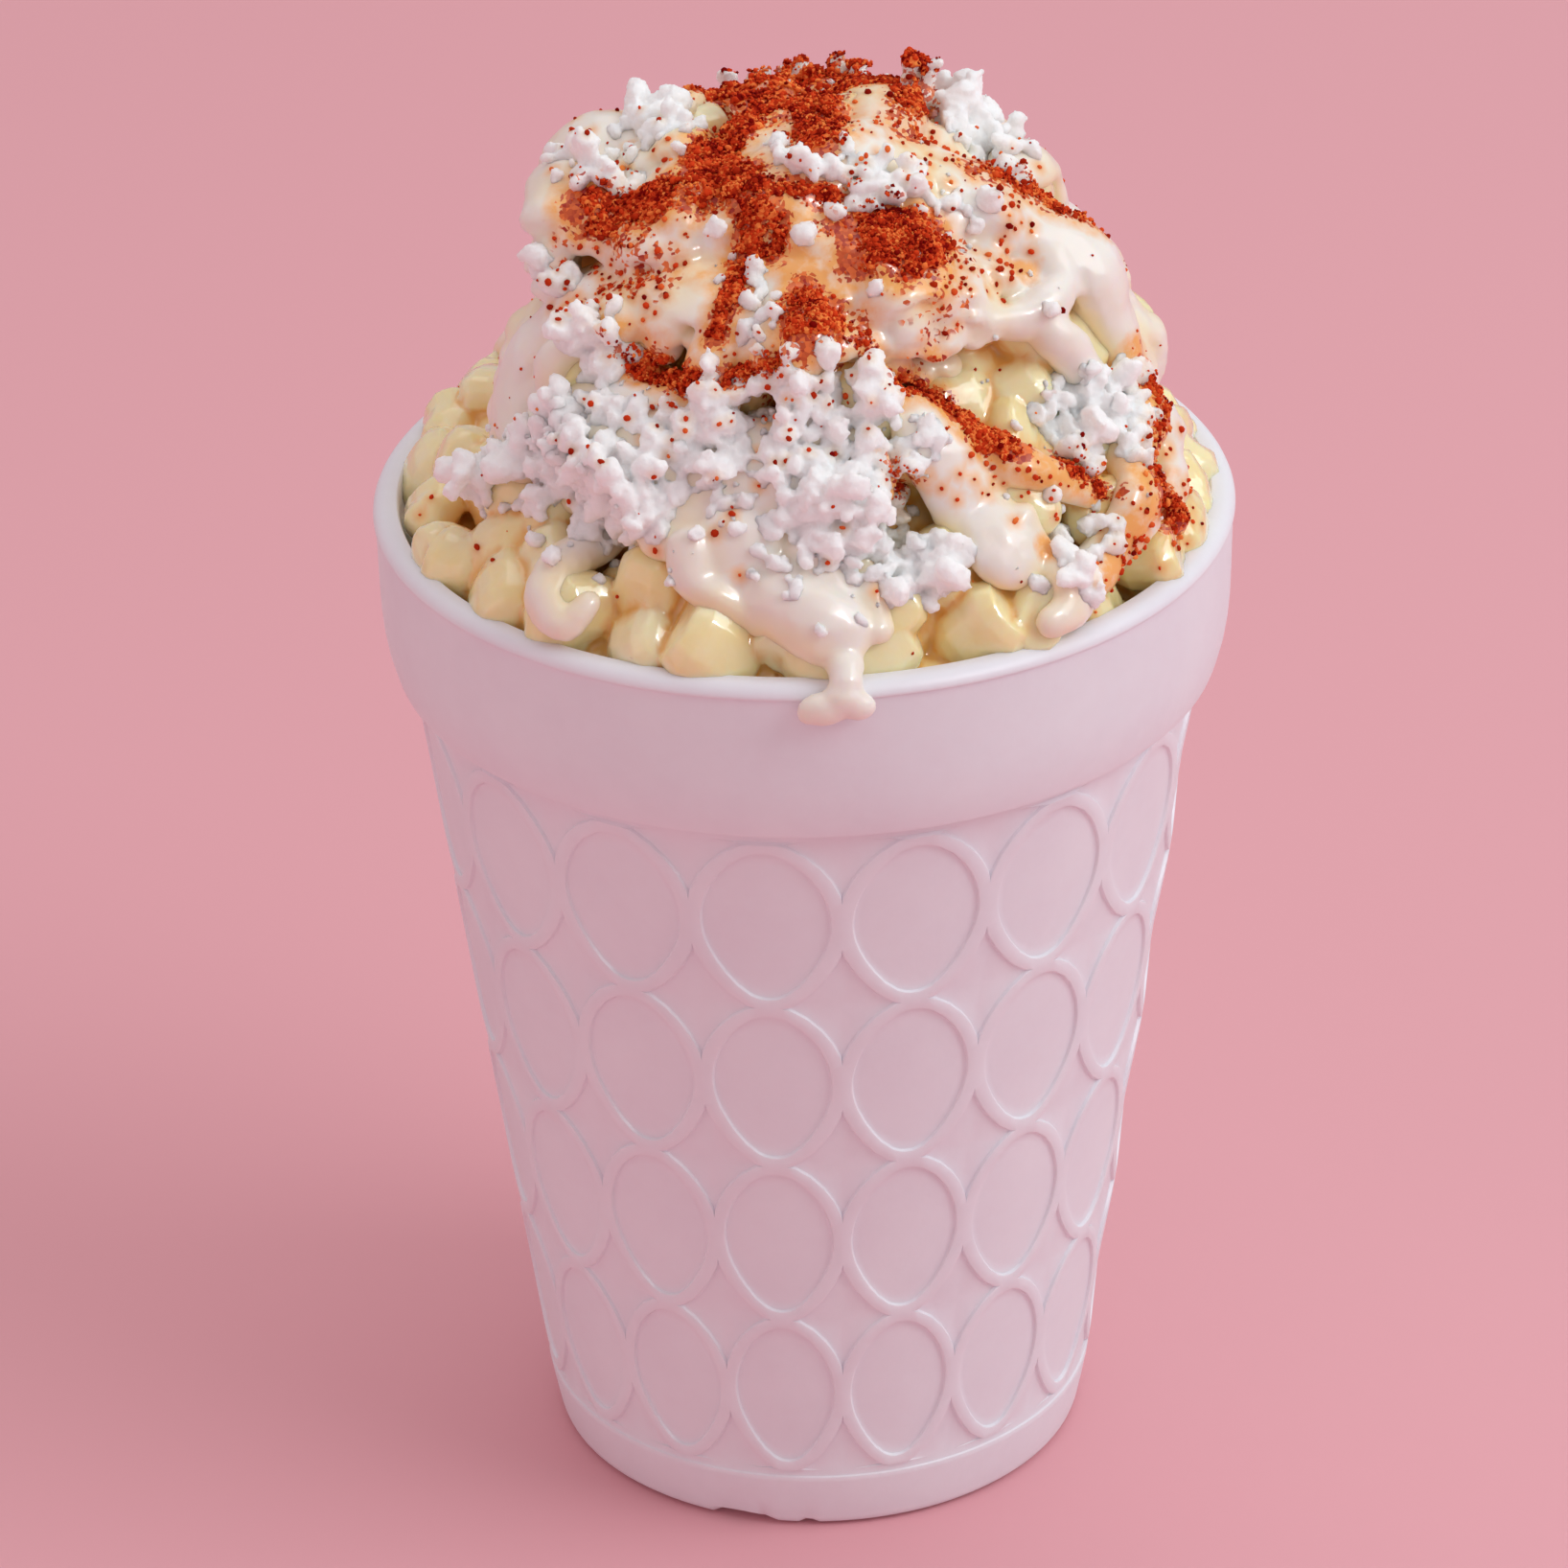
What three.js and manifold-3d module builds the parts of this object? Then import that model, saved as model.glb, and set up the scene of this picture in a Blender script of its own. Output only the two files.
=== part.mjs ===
// Esquites: corn kernels heaped in a white foam cup, with poured cream and crumbled fresh cheese on top.
// Millimetres, +Z up. The origin is the centre of the cup's base, and -Y faces the viewer.
import * as THREE from 'three';
import { mergeVertices } from 'three/addons/utils/BufferGeometryUtils.js';
import Module from 'manifold-3d';

const wasm = await Module();
wasm.setup();

// ---- Driving dimensions ----
const CUP_HEIGHT = 116;
const RIM_RADIUS = 47;
const BASE_RADIUS = 30;
const WALL = 2.2; // foam wall thickness
const FLOOR = 3.2; // foam floor thickness
const FOOT_HEIGHT = 7.3; // plain band round the foot
const COLLAR_BOTTOM = 97.1; // lower edge of the thick band under the rim
const WALL_TOP_RADIUS = 43.3; // outer wall just under the collar
const WALL_FOOT_RADIUS = 30.9; // outer wall just above the foot band
const CLEARANCE = 0.45; // gap between touching pieces
const CUP_SIDES = 36;

const MOUND_CENTRE_Z = 108; // the mound's surface is measured from this point on the axis
const KERNEL_PROUD = 4.6; // how far the kernels stand out of the bare core
const KERNEL_LENGTH = 9.6;
const KERNEL_WIDTH = 8.4;
const KERNEL_THICKNESS = 6.2;
const KERNEL_SPACING = 9.3;
const CRUMB_SIZE = 4.9;
const LEAST_LEFT = 0.4; // a kernel or crumb cut down to less than this share is left out
const SLIVER = 0.15; // detail smaller than this is dropped from cut pieces
const CORN_SLIVER = 0.3; // the same for the corn
const SEED = 7;

// Radius of the mound's outline from the mound centre, by elevation, on its four sides.
const ELEVATIONS = [-10, 5, 22, 38, 52, 68, 90];
const OUTLINE = {
  front: [43.5, 43, 42, 43.5, 47, 53, 56.5],
  right: [44, 44.5, 45, 46, 49, 54.5, 56.5],
  back: [43.5, 43, 42, 43.5, 47, 53, 56.5],
  left: [43.5, 42.5, 39.5, 41.5, 46, 52.5, 56.5],
};
// Hollows between the upper and the lower scoop: azimuth, elevation, reach in degrees, depth.
const HOLLOWS = [
  [-29, 51, 8, 4.5],
  [-7, 50, 7, 4],
  [48, 45, 14, 2.5],
  [-105, 40, 14, 2.5],
  [150, 44, 16, 3],
  [-160, 50, 12, 3],
];

// Poured cream: each strand is a line of [azimuth, elevation, width, height above the bare core].
const CREAM = {
  cream: [
    [[20, 72, 7, 5], [43, 67, 9, 6.5], [66, 62, 10, 7], [78, 52, 11, 7], [81, 38, 9, 6.5], [80, 27, 8, 6]],
    [[36, 59, 5, 5], [53, 53, 7, 6], [66, 45, 7, 6.5], [79, 33, 7, 6]],
    [[80, 29, 8, 5.5], [68, 22, 9, 6], [56, 13, 8, 5.5], [49, 8, 5, 4.5]],
    [[-76, 56, 8, 5], [-50, 60, 12, 6.5], [-20, 61, 12, 7], [10, 60, 12, 7], [37, 58, 9, 6.5]],
    [[-60, 60, 8, 5.5], [-73, 48, 12, 6], [-76, 36, 10, 5.5], [-72, 27, 6, 5]],
    [[30, 58, 6, 5.5], [26, 43, 8, 6.5], [31, 31, 9, 7], [33, 22, 9, 7], [34, 13, 5, 5]],
    [[-14, 72, 8, 6], [-18, 61, 9, 7], [-19, 50, 9, 6.5], [-14, 42, 7, 6]],
    [[-78, 58, 7, 5.5], [-110, 62, 10, 6.5], [-140, 60, 11, 7], [-172, 58, 9, 6.5], [-200, 62, 8, 6]],
    [[-135, 62, 8, 6], [-128, 48, 9, 6.5], [-138, 35, 9, 6], [-130, 22, 7, 5.5], [-134, 13, 5, 5]],
    [[96, 62, 8, 6], [116, 50, 9, 6.5], [112, 37, 8, 6.5], [124, 24, 9, 6], [120, 14, 6, 5]],
    [[165, 66, 8, 6], [172, 45, 9, 6.5], [160, 33, 9, 6.5], [172, 20, 8, 6]],
    [[-14, 72, 8, 5], [30, 78, 9, 5.5], [100, 78, 9, 5.5], [160, 74, 8, 5.5], [200, 62, 8, 6]],
    [[100, 78, 8, 5.5], [98, 68, 8, 6], [92, 58, 8, 6]],
  ],
  cream_front: [
    [[-22, 32, 8, 5.5], [-14, 23, 12, 6.5], [-5, 17, 12, 6.5], [4, 12, 8, 6]],
    [[-20, 30, 5, 4.5], [-31, 30, 4.5, 5], [-40, 21, 5, 5.5], [-36, 12, 5, 5]],
  ],
};
const STRAND_STEP = 7.5; // along a strand
// The drop that has run over the rim: centre and radius of each bead of cream.
const DRIP = [
  [2.4, -41.5, 117.2, 3.6],
  [3.0, -44.8, 117.6, 3.0],
  [3.0, -47.2, 116.8, 2.8],
  [2.2, -48.0, 114.8, 2.9],
  [0.8, -48.0, 113.8, 2.7],
];

// Crumbled cheese: name, centre azimuth and elevation, reach across and up, height over the outline, crumbs.
const CHEESE = [
  ['cheese_front', -17, 34.5, 31, 9, 1.2, 27],
  ['cheese_left_peak', -92, 60, 6, 4.5, 4.5, 7],
  ['cheese_right_peak', 84, 72, 7.5, 5.5, 4.5, 9],
  ['cheese_right_shoulder', 60, 32, 9, 5.5, 2, 9],
  ['cheese_left_shoulder', -54, 51, 7, 3.6, 2.5, 6],
  ['cheese_back', 172, 68, 13, 6, 2.5, 8],
  ['cheese_back_low', 140, 32, 14, 6, 2, 8],
];

const CORN = new THREE.MeshStandardMaterial({ color: 0xf0d28a, roughness: 0.35, metalness: 0 });
const FOAM = new THREE.MeshStandardMaterial({ color: 0xf2eff1, roughness: 0.7, metalness: 0 });
const CREAM_LOOK = new THREE.MeshStandardMaterial({ color: 0xf7ead0, roughness: 0.25, metalness: 0 });
const CHEESE_LOOK = new THREE.MeshStandardMaterial({ color: 0xf8f6f0, roughness: 0.8, metalness: 0 });

// ---- Small helpers ----
const radians = THREE.MathUtils.degToRad;
const degrees = THREE.MathUtils.radToDeg;

// Repeatable random numbers from 0 to 1.
function randomFrom(seed) {
  let state = seed >>> 0;
  return () => {
    state = (state + 0x6d2b79f5) >>> 0;
    let t = Math.imul(state ^ (state >>> 15), 1 | state);
    t = (t + Math.imul(t ^ (t >>> 7), 61 | t)) ^ t;
    return ((t ^ (t >>> 14)) >>> 0) / 4294967296;
  };
}

// Smooth curve through the values ys at xs.
function through(x, xs, ys) {
  const last = xs.length - 1;
  const slope = (i) => {
    if (i === last) return 0;
    const lower = Math.max(i - 1, 0);
    return (ys[i + 1] - ys[lower]) / (xs[i + 1] - xs[lower]);
  };
  const held = Math.min(Math.max(x, xs[0]), xs[last]);
  let i = 0;
  while (i < last - 1 && held > xs[i + 1]) i += 1;
  const span = xs[i + 1] - xs[i];
  const t = (held - xs[i]) / span;
  return (2 * t ** 3 - 3 * t ** 2 + 1) * ys[i] + (t ** 3 - 2 * t ** 2 + t) * span * slope(i)
    + (3 * t ** 2 - 2 * t ** 3) * ys[i + 1] + (t ** 3 - t ** 2) * span * slope(i + 1);
}

function solidOf(geometry) {
  const bare = geometry.clone();
  bare.deleteAttribute('normal');
  bare.deleteAttribute('uv');
  const merged = mergeVertices(bare, 1e-3);
  const mesh = new wasm.Mesh({
    numProp: 3,
    vertProperties: new Float32Array(merged.attributes.position.array),
    triVerts: new Uint32Array(merged.index.array),
  });
  mesh.merge();
  return new wasm.Manifold(mesh);
}

function geometryOf(solid) {
  const mesh = solid.getMesh();
  const geometry = new THREE.BufferGeometry();
  geometry.setAttribute('position', new THREE.BufferAttribute(new Float32Array(mesh.vertProperties), 3));
  geometry.setIndex(new THREE.BufferAttribute(new Uint32Array(mesh.triVerts), 1));
  geometry.computeVertexNormals();
  return geometry;
}

function joined(solids) {
  return solids.reduce((whole, solid) => whole.add(solid));
}

// The largest connected lump of a solid, without the loose scraps and slivers that cutting leaves.
function mainLump(solid, sliver = SLIVER) {
  const largest = (lumps) => lumps.reduce((best, lump) => (lump.volume() > best.volume() ? lump : best));
  let lump = largest(solid.simplify(sliver).decompose());
  for (let pass = 0; pass < 5; pass += 1) {
    const lumps = solidOf(geometryOf(lump)).decompose();
    lump = largest(lumps);
    if (lumps.length === 1) break;
  }
  return lump;
}

// A closed surface from rings of points, bottom ring first, each ring anticlockwise seen from above.
function ringsGeometry(rings, bottom, top) {
  const points = [bottom, ...rings.flat(), top];
  const sides = rings[0].length;
  const at = (ring, side) => 1 + ring * sides + (side % sides);
  const faces = [];
  for (let side = 0; side < sides; side += 1) {
    faces.push(0, at(0, side + 1), at(0, side));
    faces.push(points.length - 1, at(rings.length - 1, side), at(rings.length - 1, side + 1));
    for (let ring = 0; ring < rings.length - 1; ring += 1) {
      faces.push(at(ring, side), at(ring, side + 1), at(ring + 1, side + 1));
      faces.push(at(ring, side), at(ring + 1, side + 1), at(ring + 1, side));
    }
  }
  const geometry = new THREE.BufferGeometry().setFromPoints(points);
  geometry.setIndex(faces);
  return geometry;
}

// ---- The cup ----
const wallOuter = (z) => WALL_FOOT_RADIUS
  + ((z - FOOT_HEIGHT) * (WALL_TOP_RADIUS - WALL_FOOT_RADIUS)) / (COLLAR_BOTTOM - FOOT_HEIGHT);
const wallInner = (z) => wallOuter(z) - WALL;

function cupGeometry(grow) {
  const g = grow;
  const profile = [
    [0, -g], [BASE_RADIUS - 0.6 + g, -g], [WALL_FOOT_RADIUS + 0.4 + g, FOOT_HEIGHT - 0.3 + g],
    [WALL_FOOT_RADIUS + g, FOOT_HEIGHT + g], [WALL_TOP_RADIUS + g, COLLAR_BOTTOM - g],
    [RIM_RADIUS - 1.8 + g, COLLAR_BOTTOM + 0.2 - g], [RIM_RADIUS - 0.5 + g, COLLAR_BOTTOM + 4.6],
    [RIM_RADIUS - 0.2 + g, CUP_HEIGHT - 3.2], [RIM_RADIUS + g, CUP_HEIGHT - 2.6],
    [RIM_RADIUS + g, CUP_HEIGHT - 0.9],
    [RIM_RADIUS - 0.8 + g, CUP_HEIGHT + g], [RIM_RADIUS - 2 - g, CUP_HEIGHT + g],
    [wallInner(CUP_HEIGHT - 4) - g, CUP_HEIGHT - 3], [wallInner(FLOOR + 2) - g, FLOOR + 2 + g],
    [wallInner(FLOOR) - 2 - g, FLOOR + g], [0, FLOOR + g],
  ];
  const geometry = new THREE.LatheGeometry(profile.map(([r, z]) => new THREE.Vector2(r, z)), CUP_SIDES);
  geometry.rotateX(Math.PI / 2);
  return geometry;
}

// ---- The mound ----
function outlineRadius(azimuth, elevation) {
  const a = radians(azimuth);
  const share = {
    front: Math.max(Math.cos(a), 0) ** 2,
    back: Math.max(-Math.cos(a), 0) ** 2,
    right: Math.max(Math.sin(a), 0) ** 2,
    left: Math.max(-Math.sin(a), 0) ** 2,
  };
  let radius = 0;
  for (const side of Object.keys(share)) {
    radius += share[side] * through(elevation, ELEVATIONS, OUTLINE[side]);
  }
  for (const [hollowAzimuth, hollowElevation, reach, depth] of HOLLOWS) {
    const turn = THREE.MathUtils.euclideanModulo(azimuth - hollowAzimuth + 180, 360) - 180;
    const across = (turn * Math.cos(radians(elevation))) / reach;
    const along = (elevation - hollowElevation) / reach;
    radius -= depth * Math.exp(-(across ** 2 + along ** 2));
  }
  return radius;
}

// The point at a radius from the mound centre. Azimuth 0 is the front, and 90 the right.
function moundPoint(azimuth, elevation, radius) {
  const a = radians(azimuth);
  const e = radians(elevation);
  return new THREE.Vector3(
    radius * Math.sin(a) * Math.cos(e),
    -radius * Math.cos(a) * Math.cos(e),
    MOUND_CENTRE_Z + radius * Math.sin(e),
  );
}

const coreRadius = (azimuth, elevation) => outlineRadius(azimuth, elevation) - KERNEL_PROUD;

// The point over or under p at a height from the bare core, along the line from the mound centre.
function onCore(p, height) {
  const azimuth = degrees(Math.atan2(p.x, -p.y));
  const elevation = degrees(Math.atan2(p.z - MOUND_CENTRE_Z, Math.hypot(p.x, p.y)));
  return moundPoint(azimuth, elevation, coreRadius(azimuth, elevation) + height);
}

function coreGeometry(grow) {
  const sides = 26;
  const rings = [];
  const turned = (side) => (360 * side) / sides;
  for (const [z, inset] of [[FLOOR + 0.4, 3], [FLOOR + 3, 0], [98, 0]]) {
    const radius = wallInner(z) - inset - CLEARANCE - 0.3;
    rings.push(Array.from({ length: sides }, (_, side) => {
      const a = radians(turned(side));
      return new THREE.Vector3(radius * Math.sin(a), -radius * Math.cos(a), z);
    }));
  }
  for (const elevation of [-5, 9, 23, 36, 48, 58, 68, 79]) {
    rings.push(Array.from({ length: sides }, (_, side) => {
      const azimuth = turned(side);
      return moundPoint(azimuth, elevation, coreRadius(azimuth, elevation) + grow);
    }));
  }
  const bottom = new THREE.Vector3(0, 0, FLOOR + 0.4);
  return ringsGeometry(rings, bottom, moundPoint(0, 90, coreRadius(0, 90) + grow));
}

// ---- Poured cream ----
function strandGeometry(line, grow) {
  const knots = line.map(([azimuth, elevation]) => (
    moundPoint(azimuth, elevation, coreRadius(azimuth, elevation))
  ));
  const path = new THREE.CatmullRomCurve3(knots);
  const steps = Math.max(4, Math.round(path.getLength() / STRAND_STEP));
  const rings = [];
  for (let step = 0; step <= steps; step += 1) {
    const share = step / steps;
    const knot = share * (line.length - 1);
    const from = line[Math.floor(knot)];
    const to = line[Math.min(Math.floor(knot) + 1, line.length - 1)];
    const mix = knot - Math.floor(knot);
    const end = Math.sqrt(Math.max(0, 1 - (2 * share - 1) ** 8)) * 0.75 + 0.25;
    const half = ((from[2] + (to[2] - from[2]) * mix) / 2) * end + grow;
    const height = (from[3] + (to[3] - from[3]) * mix) * (0.7 + 0.3 * end) + grow;
    const centre = path.getPoint(share);
    const ahead = path.getTangent(share);
    const out = centre.clone().setZ(centre.z - MOUND_CENTRE_Z).normalize();
    const side = new THREE.Vector3().crossVectors(ahead, out).normalize();
    const sectionPoint = (across, lift) => onCore(centre.clone().addScaledVector(side, across * half), lift);
    rings.push([
      sectionPoint(-0.85, CLEARANCE - grow),
      sectionPoint(-1, height * 0.5),
      sectionPoint(-0.55, height * 0.94),
      sectionPoint(0.55, height * 0.94),
      sectionPoint(1, height * 0.5),
      sectionPoint(0.85, CLEARANCE - grow),
    ]);
  }
  const middle = (ring) => ring.reduce((sum, p) => sum.add(p), new THREE.Vector3()).divideScalar(ring.length);
  return ringsGeometry(rings, middle(rings[0]), middle(rings[rings.length - 1]));
}

function creamSolid(name, grow) {
  const strands = CREAM[name].map((line) => solidOf(strandGeometry(line, grow)));
  if (name !== 'cream_front') return joined(strands);
  const beads = DRIP.map(([x, y, z, radius]) => {
    const bead = new THREE.IcosahedronGeometry(radius + grow, 1);
    bead.translate(x, y, z);
    return solidOf(bead);
  });
  return joined([...strands, ...beads]);
}

// ---- Crumbled cheese ----
function crumbGeometry(random, size) {
  const bare = new THREE.BoxGeometry(size, size, size).deleteAttribute('normal').deleteAttribute('uv');
  const crumb = mergeVertices(bare);
  const position = crumb.attributes.position;
  for (let i = 0; i < position.count; i += 1) {
    const stretch = 0.62 + 0.42 * random();
    position.setXYZ(i, position.getX(i) * stretch, position.getY(i) * stretch, position.getZ(i) * stretch);
  }
  crumb.scale(1 + 0.35 * random(), 0.8 + 0.3 * random(), 0.8 + 0.3 * random());
  crumb.rotateX(2 * Math.PI * random());
  crumb.rotateZ(2 * Math.PI * random());
  return crumb;
}

// A small piece cut by one flat face to stay clear of a neighbour, or nothing when little is left.
// shapeOf gives the piece grown by a margin.
function trimmedClear(shapeOf, neighbour) {
  const piece = shapeOf(0);
  const shared = shapeOf(CLEARANCE).intersect(neighbour);
  if (shared.isEmpty()) return piece;
  const middle = (body) => {
    const { min, max } = body.boundingBox();
    return new THREE.Vector3(...min).add(new THREE.Vector3(...max)).multiplyScalar(0.5);
  };
  const towards = middle(shared).sub(middle(piece));
  if (towards.length() < 0.3) return null;
  towards.normalize();
  const { vertProperties } = shared.getMesh();
  let nearest = Infinity;
  for (let i = 0; i < vertProperties.length; i += 3) {
    nearest = Math.min(nearest, towards.dot(new THREE.Vector3().fromArray(vertProperties, i)));
  }
  const kept = piece.trimByPlane(towards.clone().negate().toArray(), CLEARANCE - nearest);
  return kept.volume() > piece.volume() * LEAST_LEFT ? kept : null;
}

// A bed on the bare core with crumbs fused over it: one heap of cheese, clear of its neighbours.
function cheeseSolid([, azimuth, elevation, across, up, over, count], seed, keepOut, neighbours) {
  const random = randomFrom(seed);
  const centre = moundPoint(azimuth, elevation, coreRadius(azimuth, elevation));
  const out = centre.clone().setZ(centre.z - MOUND_CENTRE_Z).normalize();
  const right = new THREE.Vector3(0, 0, 1).cross(out).normalize();
  const upward = new THREE.Vector3().crossVectors(out, right);
  const placed = (u, v, height) => {
    const flat = centre.clone().addScaledVector(right, u * across).addScaledVector(upward, v * up);
    return onCore(flat, height);
  };
  const sides = across > 20 ? 16 : 10;
  const middleHeight = KERNEL_PROUD + over * 0.7;
  const levels = [[0.45, CLEARANCE], [0.86, CLEARANCE], [0.86, KERNEL_PROUD * 0.7], [0.45, middleHeight]];
  const bed = levels.map(([share, height]) => Array.from({ length: sides }, (_, side) => {
    const turn = (2 * Math.PI * side) / sides;
    return placed(share * Math.cos(turn), share * Math.sin(turn), height);
  }));
  const heap = ringsGeometry(bed, placed(0, 0, CLEARANCE), placed(0, 0, middleHeight));
  const lumps = [solidOf(heap).subtract(keepOut)];
  for (let i = 0; i < count; i += 1) {
    const reach = Math.sqrt((i + 0.5) / count);
    const turn = i * 2.39996 + 0.5 * random();
    const height = KERNEL_PROUD * (0.62 + 0.38 * (1 - reach ** 2)) + over * (1 - reach ** 2);
    const crumb = crumbGeometry(random, CRUMB_SIZE * (0.8 + 0.55 * random()));
    const outward = 0.95 * reach;
    const spot = placed(outward * Math.cos(turn), outward * Math.sin(turn), height + 0.6 * random());
    const crumbGrown = (grow) => {
      const share = 1 + (2.5 * grow) / CRUMB_SIZE;
      return solidOf(crumb.clone().scale(share, share, share).translate(spot.x, spot.y, spot.z));
    };
    const clear = trimmedClear(crumbGrown, neighbours);
    if (clear) lumps.push(clear);
  }
  return joined(lumps);
}

// ---- Corn kernels ----
// Rows of kernels round the mound, each a little off its even place.
function kernelPlaces() {
  const random = randomFrom(SEED);
  const places = [];
  const rise = degrees(KERNEL_SPACING / 46);
  for (let row = 0; row < 8; row += 1) {
    const elevation = 5 + row * rise;
    const radius = outlineRadius(0, elevation) * Math.cos(radians(elevation));
    const inRow = Math.max(3, Math.round((2 * Math.PI * radius) / KERNEL_SPACING));
    for (let i = 0; i < inRow; i += 1) {
      places.push({
        azimuth: (360 * (i + (row % 2) / 2 + 0.3 * (random() - 0.5))) / inRow,
        elevation: elevation + 0.3 * rise * (random() - 0.5),
        turn: Math.PI * random(),
        lean: 1.1 * (random() - 0.5),
        size: 0.88 + 0.24 * random(),
        lift: random(),
      });
    }
  }
  return places;
}

// A kernel: a rounded crown that narrows to the cut base.
function kernelGeometry(size) {
  const rings = [[-0.48, 0.55], [0.22, 1]].map(([along, wide]) => (
    Array.from({ length: 5 }, (_, side) => {
      const turn = (2 * Math.PI * side) / 5;
      return new THREE.Vector3(
        0.5 * KERNEL_WIDTH * wide * Math.cos(turn),
        0.58 * KERNEL_THICKNESS * wide * Math.sin(turn),
        KERNEL_LENGTH * along,
      );
    })
  ));
  const tip = new THREE.Vector3(0, 0, -0.5 * KERNEL_LENGTH);
  const crown = new THREE.Vector3(0, 0, 0.5 * KERNEL_LENGTH);
  const kernel = ringsGeometry(rings, tip, crown);
  kernel.rotateX(Math.PI / 2);
  kernel.scale(size, size, size);
  return kernel;
}

function kernelSolid(place, grow) {
  const kernel = kernelGeometry(place.size * (1 + (2.5 * grow) / KERNEL_THICKNESS));
  kernel.rotateX(place.lean);
  kernel.rotateZ(place.turn);
  const lift = KERNEL_PROUD - KERNEL_THICKNESS * 0.5 + 0.7 * (place.lift - 0.5);
  const spot = moundPoint(place.azimuth, place.elevation, coreRadius(place.azimuth, place.elevation) + lift);
  const out = spot.clone().setZ(spot.z - MOUND_CENTRE_Z).normalize();
  const turned = new THREE.Matrix4().makeRotationFromQuaternion(
    new THREE.Quaternion().setFromUnitVectors(new THREE.Vector3(0, 0, 1), out),
  );
  kernel.applyMatrix4(turned);
  kernel.translate(spot.x, spot.y, spot.z);
  return solidOf(kernel);
}

// ---- Putting it together ----
const group = new THREE.Group();
group.name = 'esquites';
function addPiece(name, geometry, material) {
  const mesh = new THREE.Mesh(geometry, material);
  mesh.name = name;
  group.add(mesh);
}

const cupKeepOut = solidOf(cupGeometry(CLEARANCE));
const coreKeepOut = solidOf(coreGeometry(CLEARANCE));
const cup = solidOf(cupGeometry(0));
const core = solidOf(coreGeometry(0));
const strands = Object.keys(CREAM);
const keepOut = cupKeepOut.add(coreKeepOut);
const cream = strands.map((name) => mainLump(creamSolid(name, 0).subtract(keepOut)));
const creamKeepOut = joined([keepOut, ...strands.map((name) => creamSolid(name, CLEARANCE))]);
const heaps = [];
for (const heap of CHEESE) {
  const near = joined([cup, core, ...cream, ...heaps]);
  const solid = cheeseSolid(heap, SEED + 11 * (heaps.length + 1), creamKeepOut, near);
  heaps.push(mainLump(solid));
}

// Kernels under a topping are left out, and those beside one are cut short of it.
const toppings = joined([cup, ...cream, ...heaps]);
const kernels = kernelPlaces().map((place) => {
  const sized = (share) => ({ ...place, size: place.size * share });
  return [1, 0.8, 0.64].reduce((found, share) => (
    found ?? trimmedClear((grow) => kernelSolid(sized(share), grow), toppings)
  ), null);
});

addPiece('cup', geometryOf(cup), FOAM);
strands.forEach((name, index) => addPiece(name, geometryOf(cream[index]), CREAM_LOOK));
CHEESE.forEach(([name], index) => addPiece(name, geometryOf(heaps[index]), CHEESE_LOOK));
addPiece('corn', geometryOf(mainLump(joined([core, ...kernels.filter(Boolean)]), CORN_SLIVER)), CORN);

export default group;
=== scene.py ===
"""Esquites: corn heaped in a white foam cup, under cream, crumbled fresh cheese and ground chile."""
import math

import bpy
import numpy as np
from mathutils import Matrix, Vector, noise
from mathutils.bvhtree import BVHTree
from mathutils.kdtree import KDTree


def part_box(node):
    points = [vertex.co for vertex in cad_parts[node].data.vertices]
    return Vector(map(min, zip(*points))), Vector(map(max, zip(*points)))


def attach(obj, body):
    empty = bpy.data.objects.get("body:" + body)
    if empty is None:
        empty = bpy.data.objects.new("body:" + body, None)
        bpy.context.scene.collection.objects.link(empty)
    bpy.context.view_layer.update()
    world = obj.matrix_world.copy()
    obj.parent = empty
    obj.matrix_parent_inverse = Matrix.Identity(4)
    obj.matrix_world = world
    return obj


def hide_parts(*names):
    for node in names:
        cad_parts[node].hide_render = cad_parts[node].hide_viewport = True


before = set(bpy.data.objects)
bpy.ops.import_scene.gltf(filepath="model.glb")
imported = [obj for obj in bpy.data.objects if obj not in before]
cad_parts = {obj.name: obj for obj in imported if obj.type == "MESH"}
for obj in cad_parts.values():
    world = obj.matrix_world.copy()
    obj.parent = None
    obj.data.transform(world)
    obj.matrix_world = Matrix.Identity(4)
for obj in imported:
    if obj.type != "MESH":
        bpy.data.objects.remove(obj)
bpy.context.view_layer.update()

# --------------------------------------------------------------------------------------------------
# Sizes. The rim's radius and the cup's height come from model.glb, and the rest are in millimetres times MM.
# --------------------------------------------------------------------------------------------------
MM = 0.001
cup_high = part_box("cup")[1]
RIM_RADIUS = cup_high[0]
CUP_HEIGHT = cup_high[2]
BASE_RADIUS = 30 * MM
FOOT_HEIGHT = 7.3 * MM  # plain band round the foot
COLLAR_BOTTOM = 97.1 * MM  # lower edge of the thick band under the rim
WALL_TOP_RADIUS = 43.3 * MM
WALL_FOOT_RADIUS = 30.9 * MM
WALL = 2.2 * MM
FLOOR = 3.2 * MM

RING_COLUMNS = 16  # moulded rings round the wall
RING_ROWS = 4
RING_BAND = 1.6 * MM  # width of the raised band
RING_HEIGHT = 0.42 * MM  # how far the band stands out
RING_EDGE = 0.2 * MM  # half the width of the band's rounded edge
RING_LATTICE = (8.35 * MM, 95.1 * MM)  # lowest and highest edge of the lattice
RING_FIRST_AZIMUTH = -7.7  # degrees: centre of one column of rings
RING_INSET = 0.0184  # how far inside its cell a ring's middle line runs, in cells
RING_CORNER = 0.02  # how far a ring's diagonals draw in from an oval's
RING_EGG = 0.1  # how much narrower a ring is below its middle

MOUND_CENTRE = Vector((0, 0, CUP_HEIGHT - 8 * MM))  # the heap is measured from this point on the axis
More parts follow.
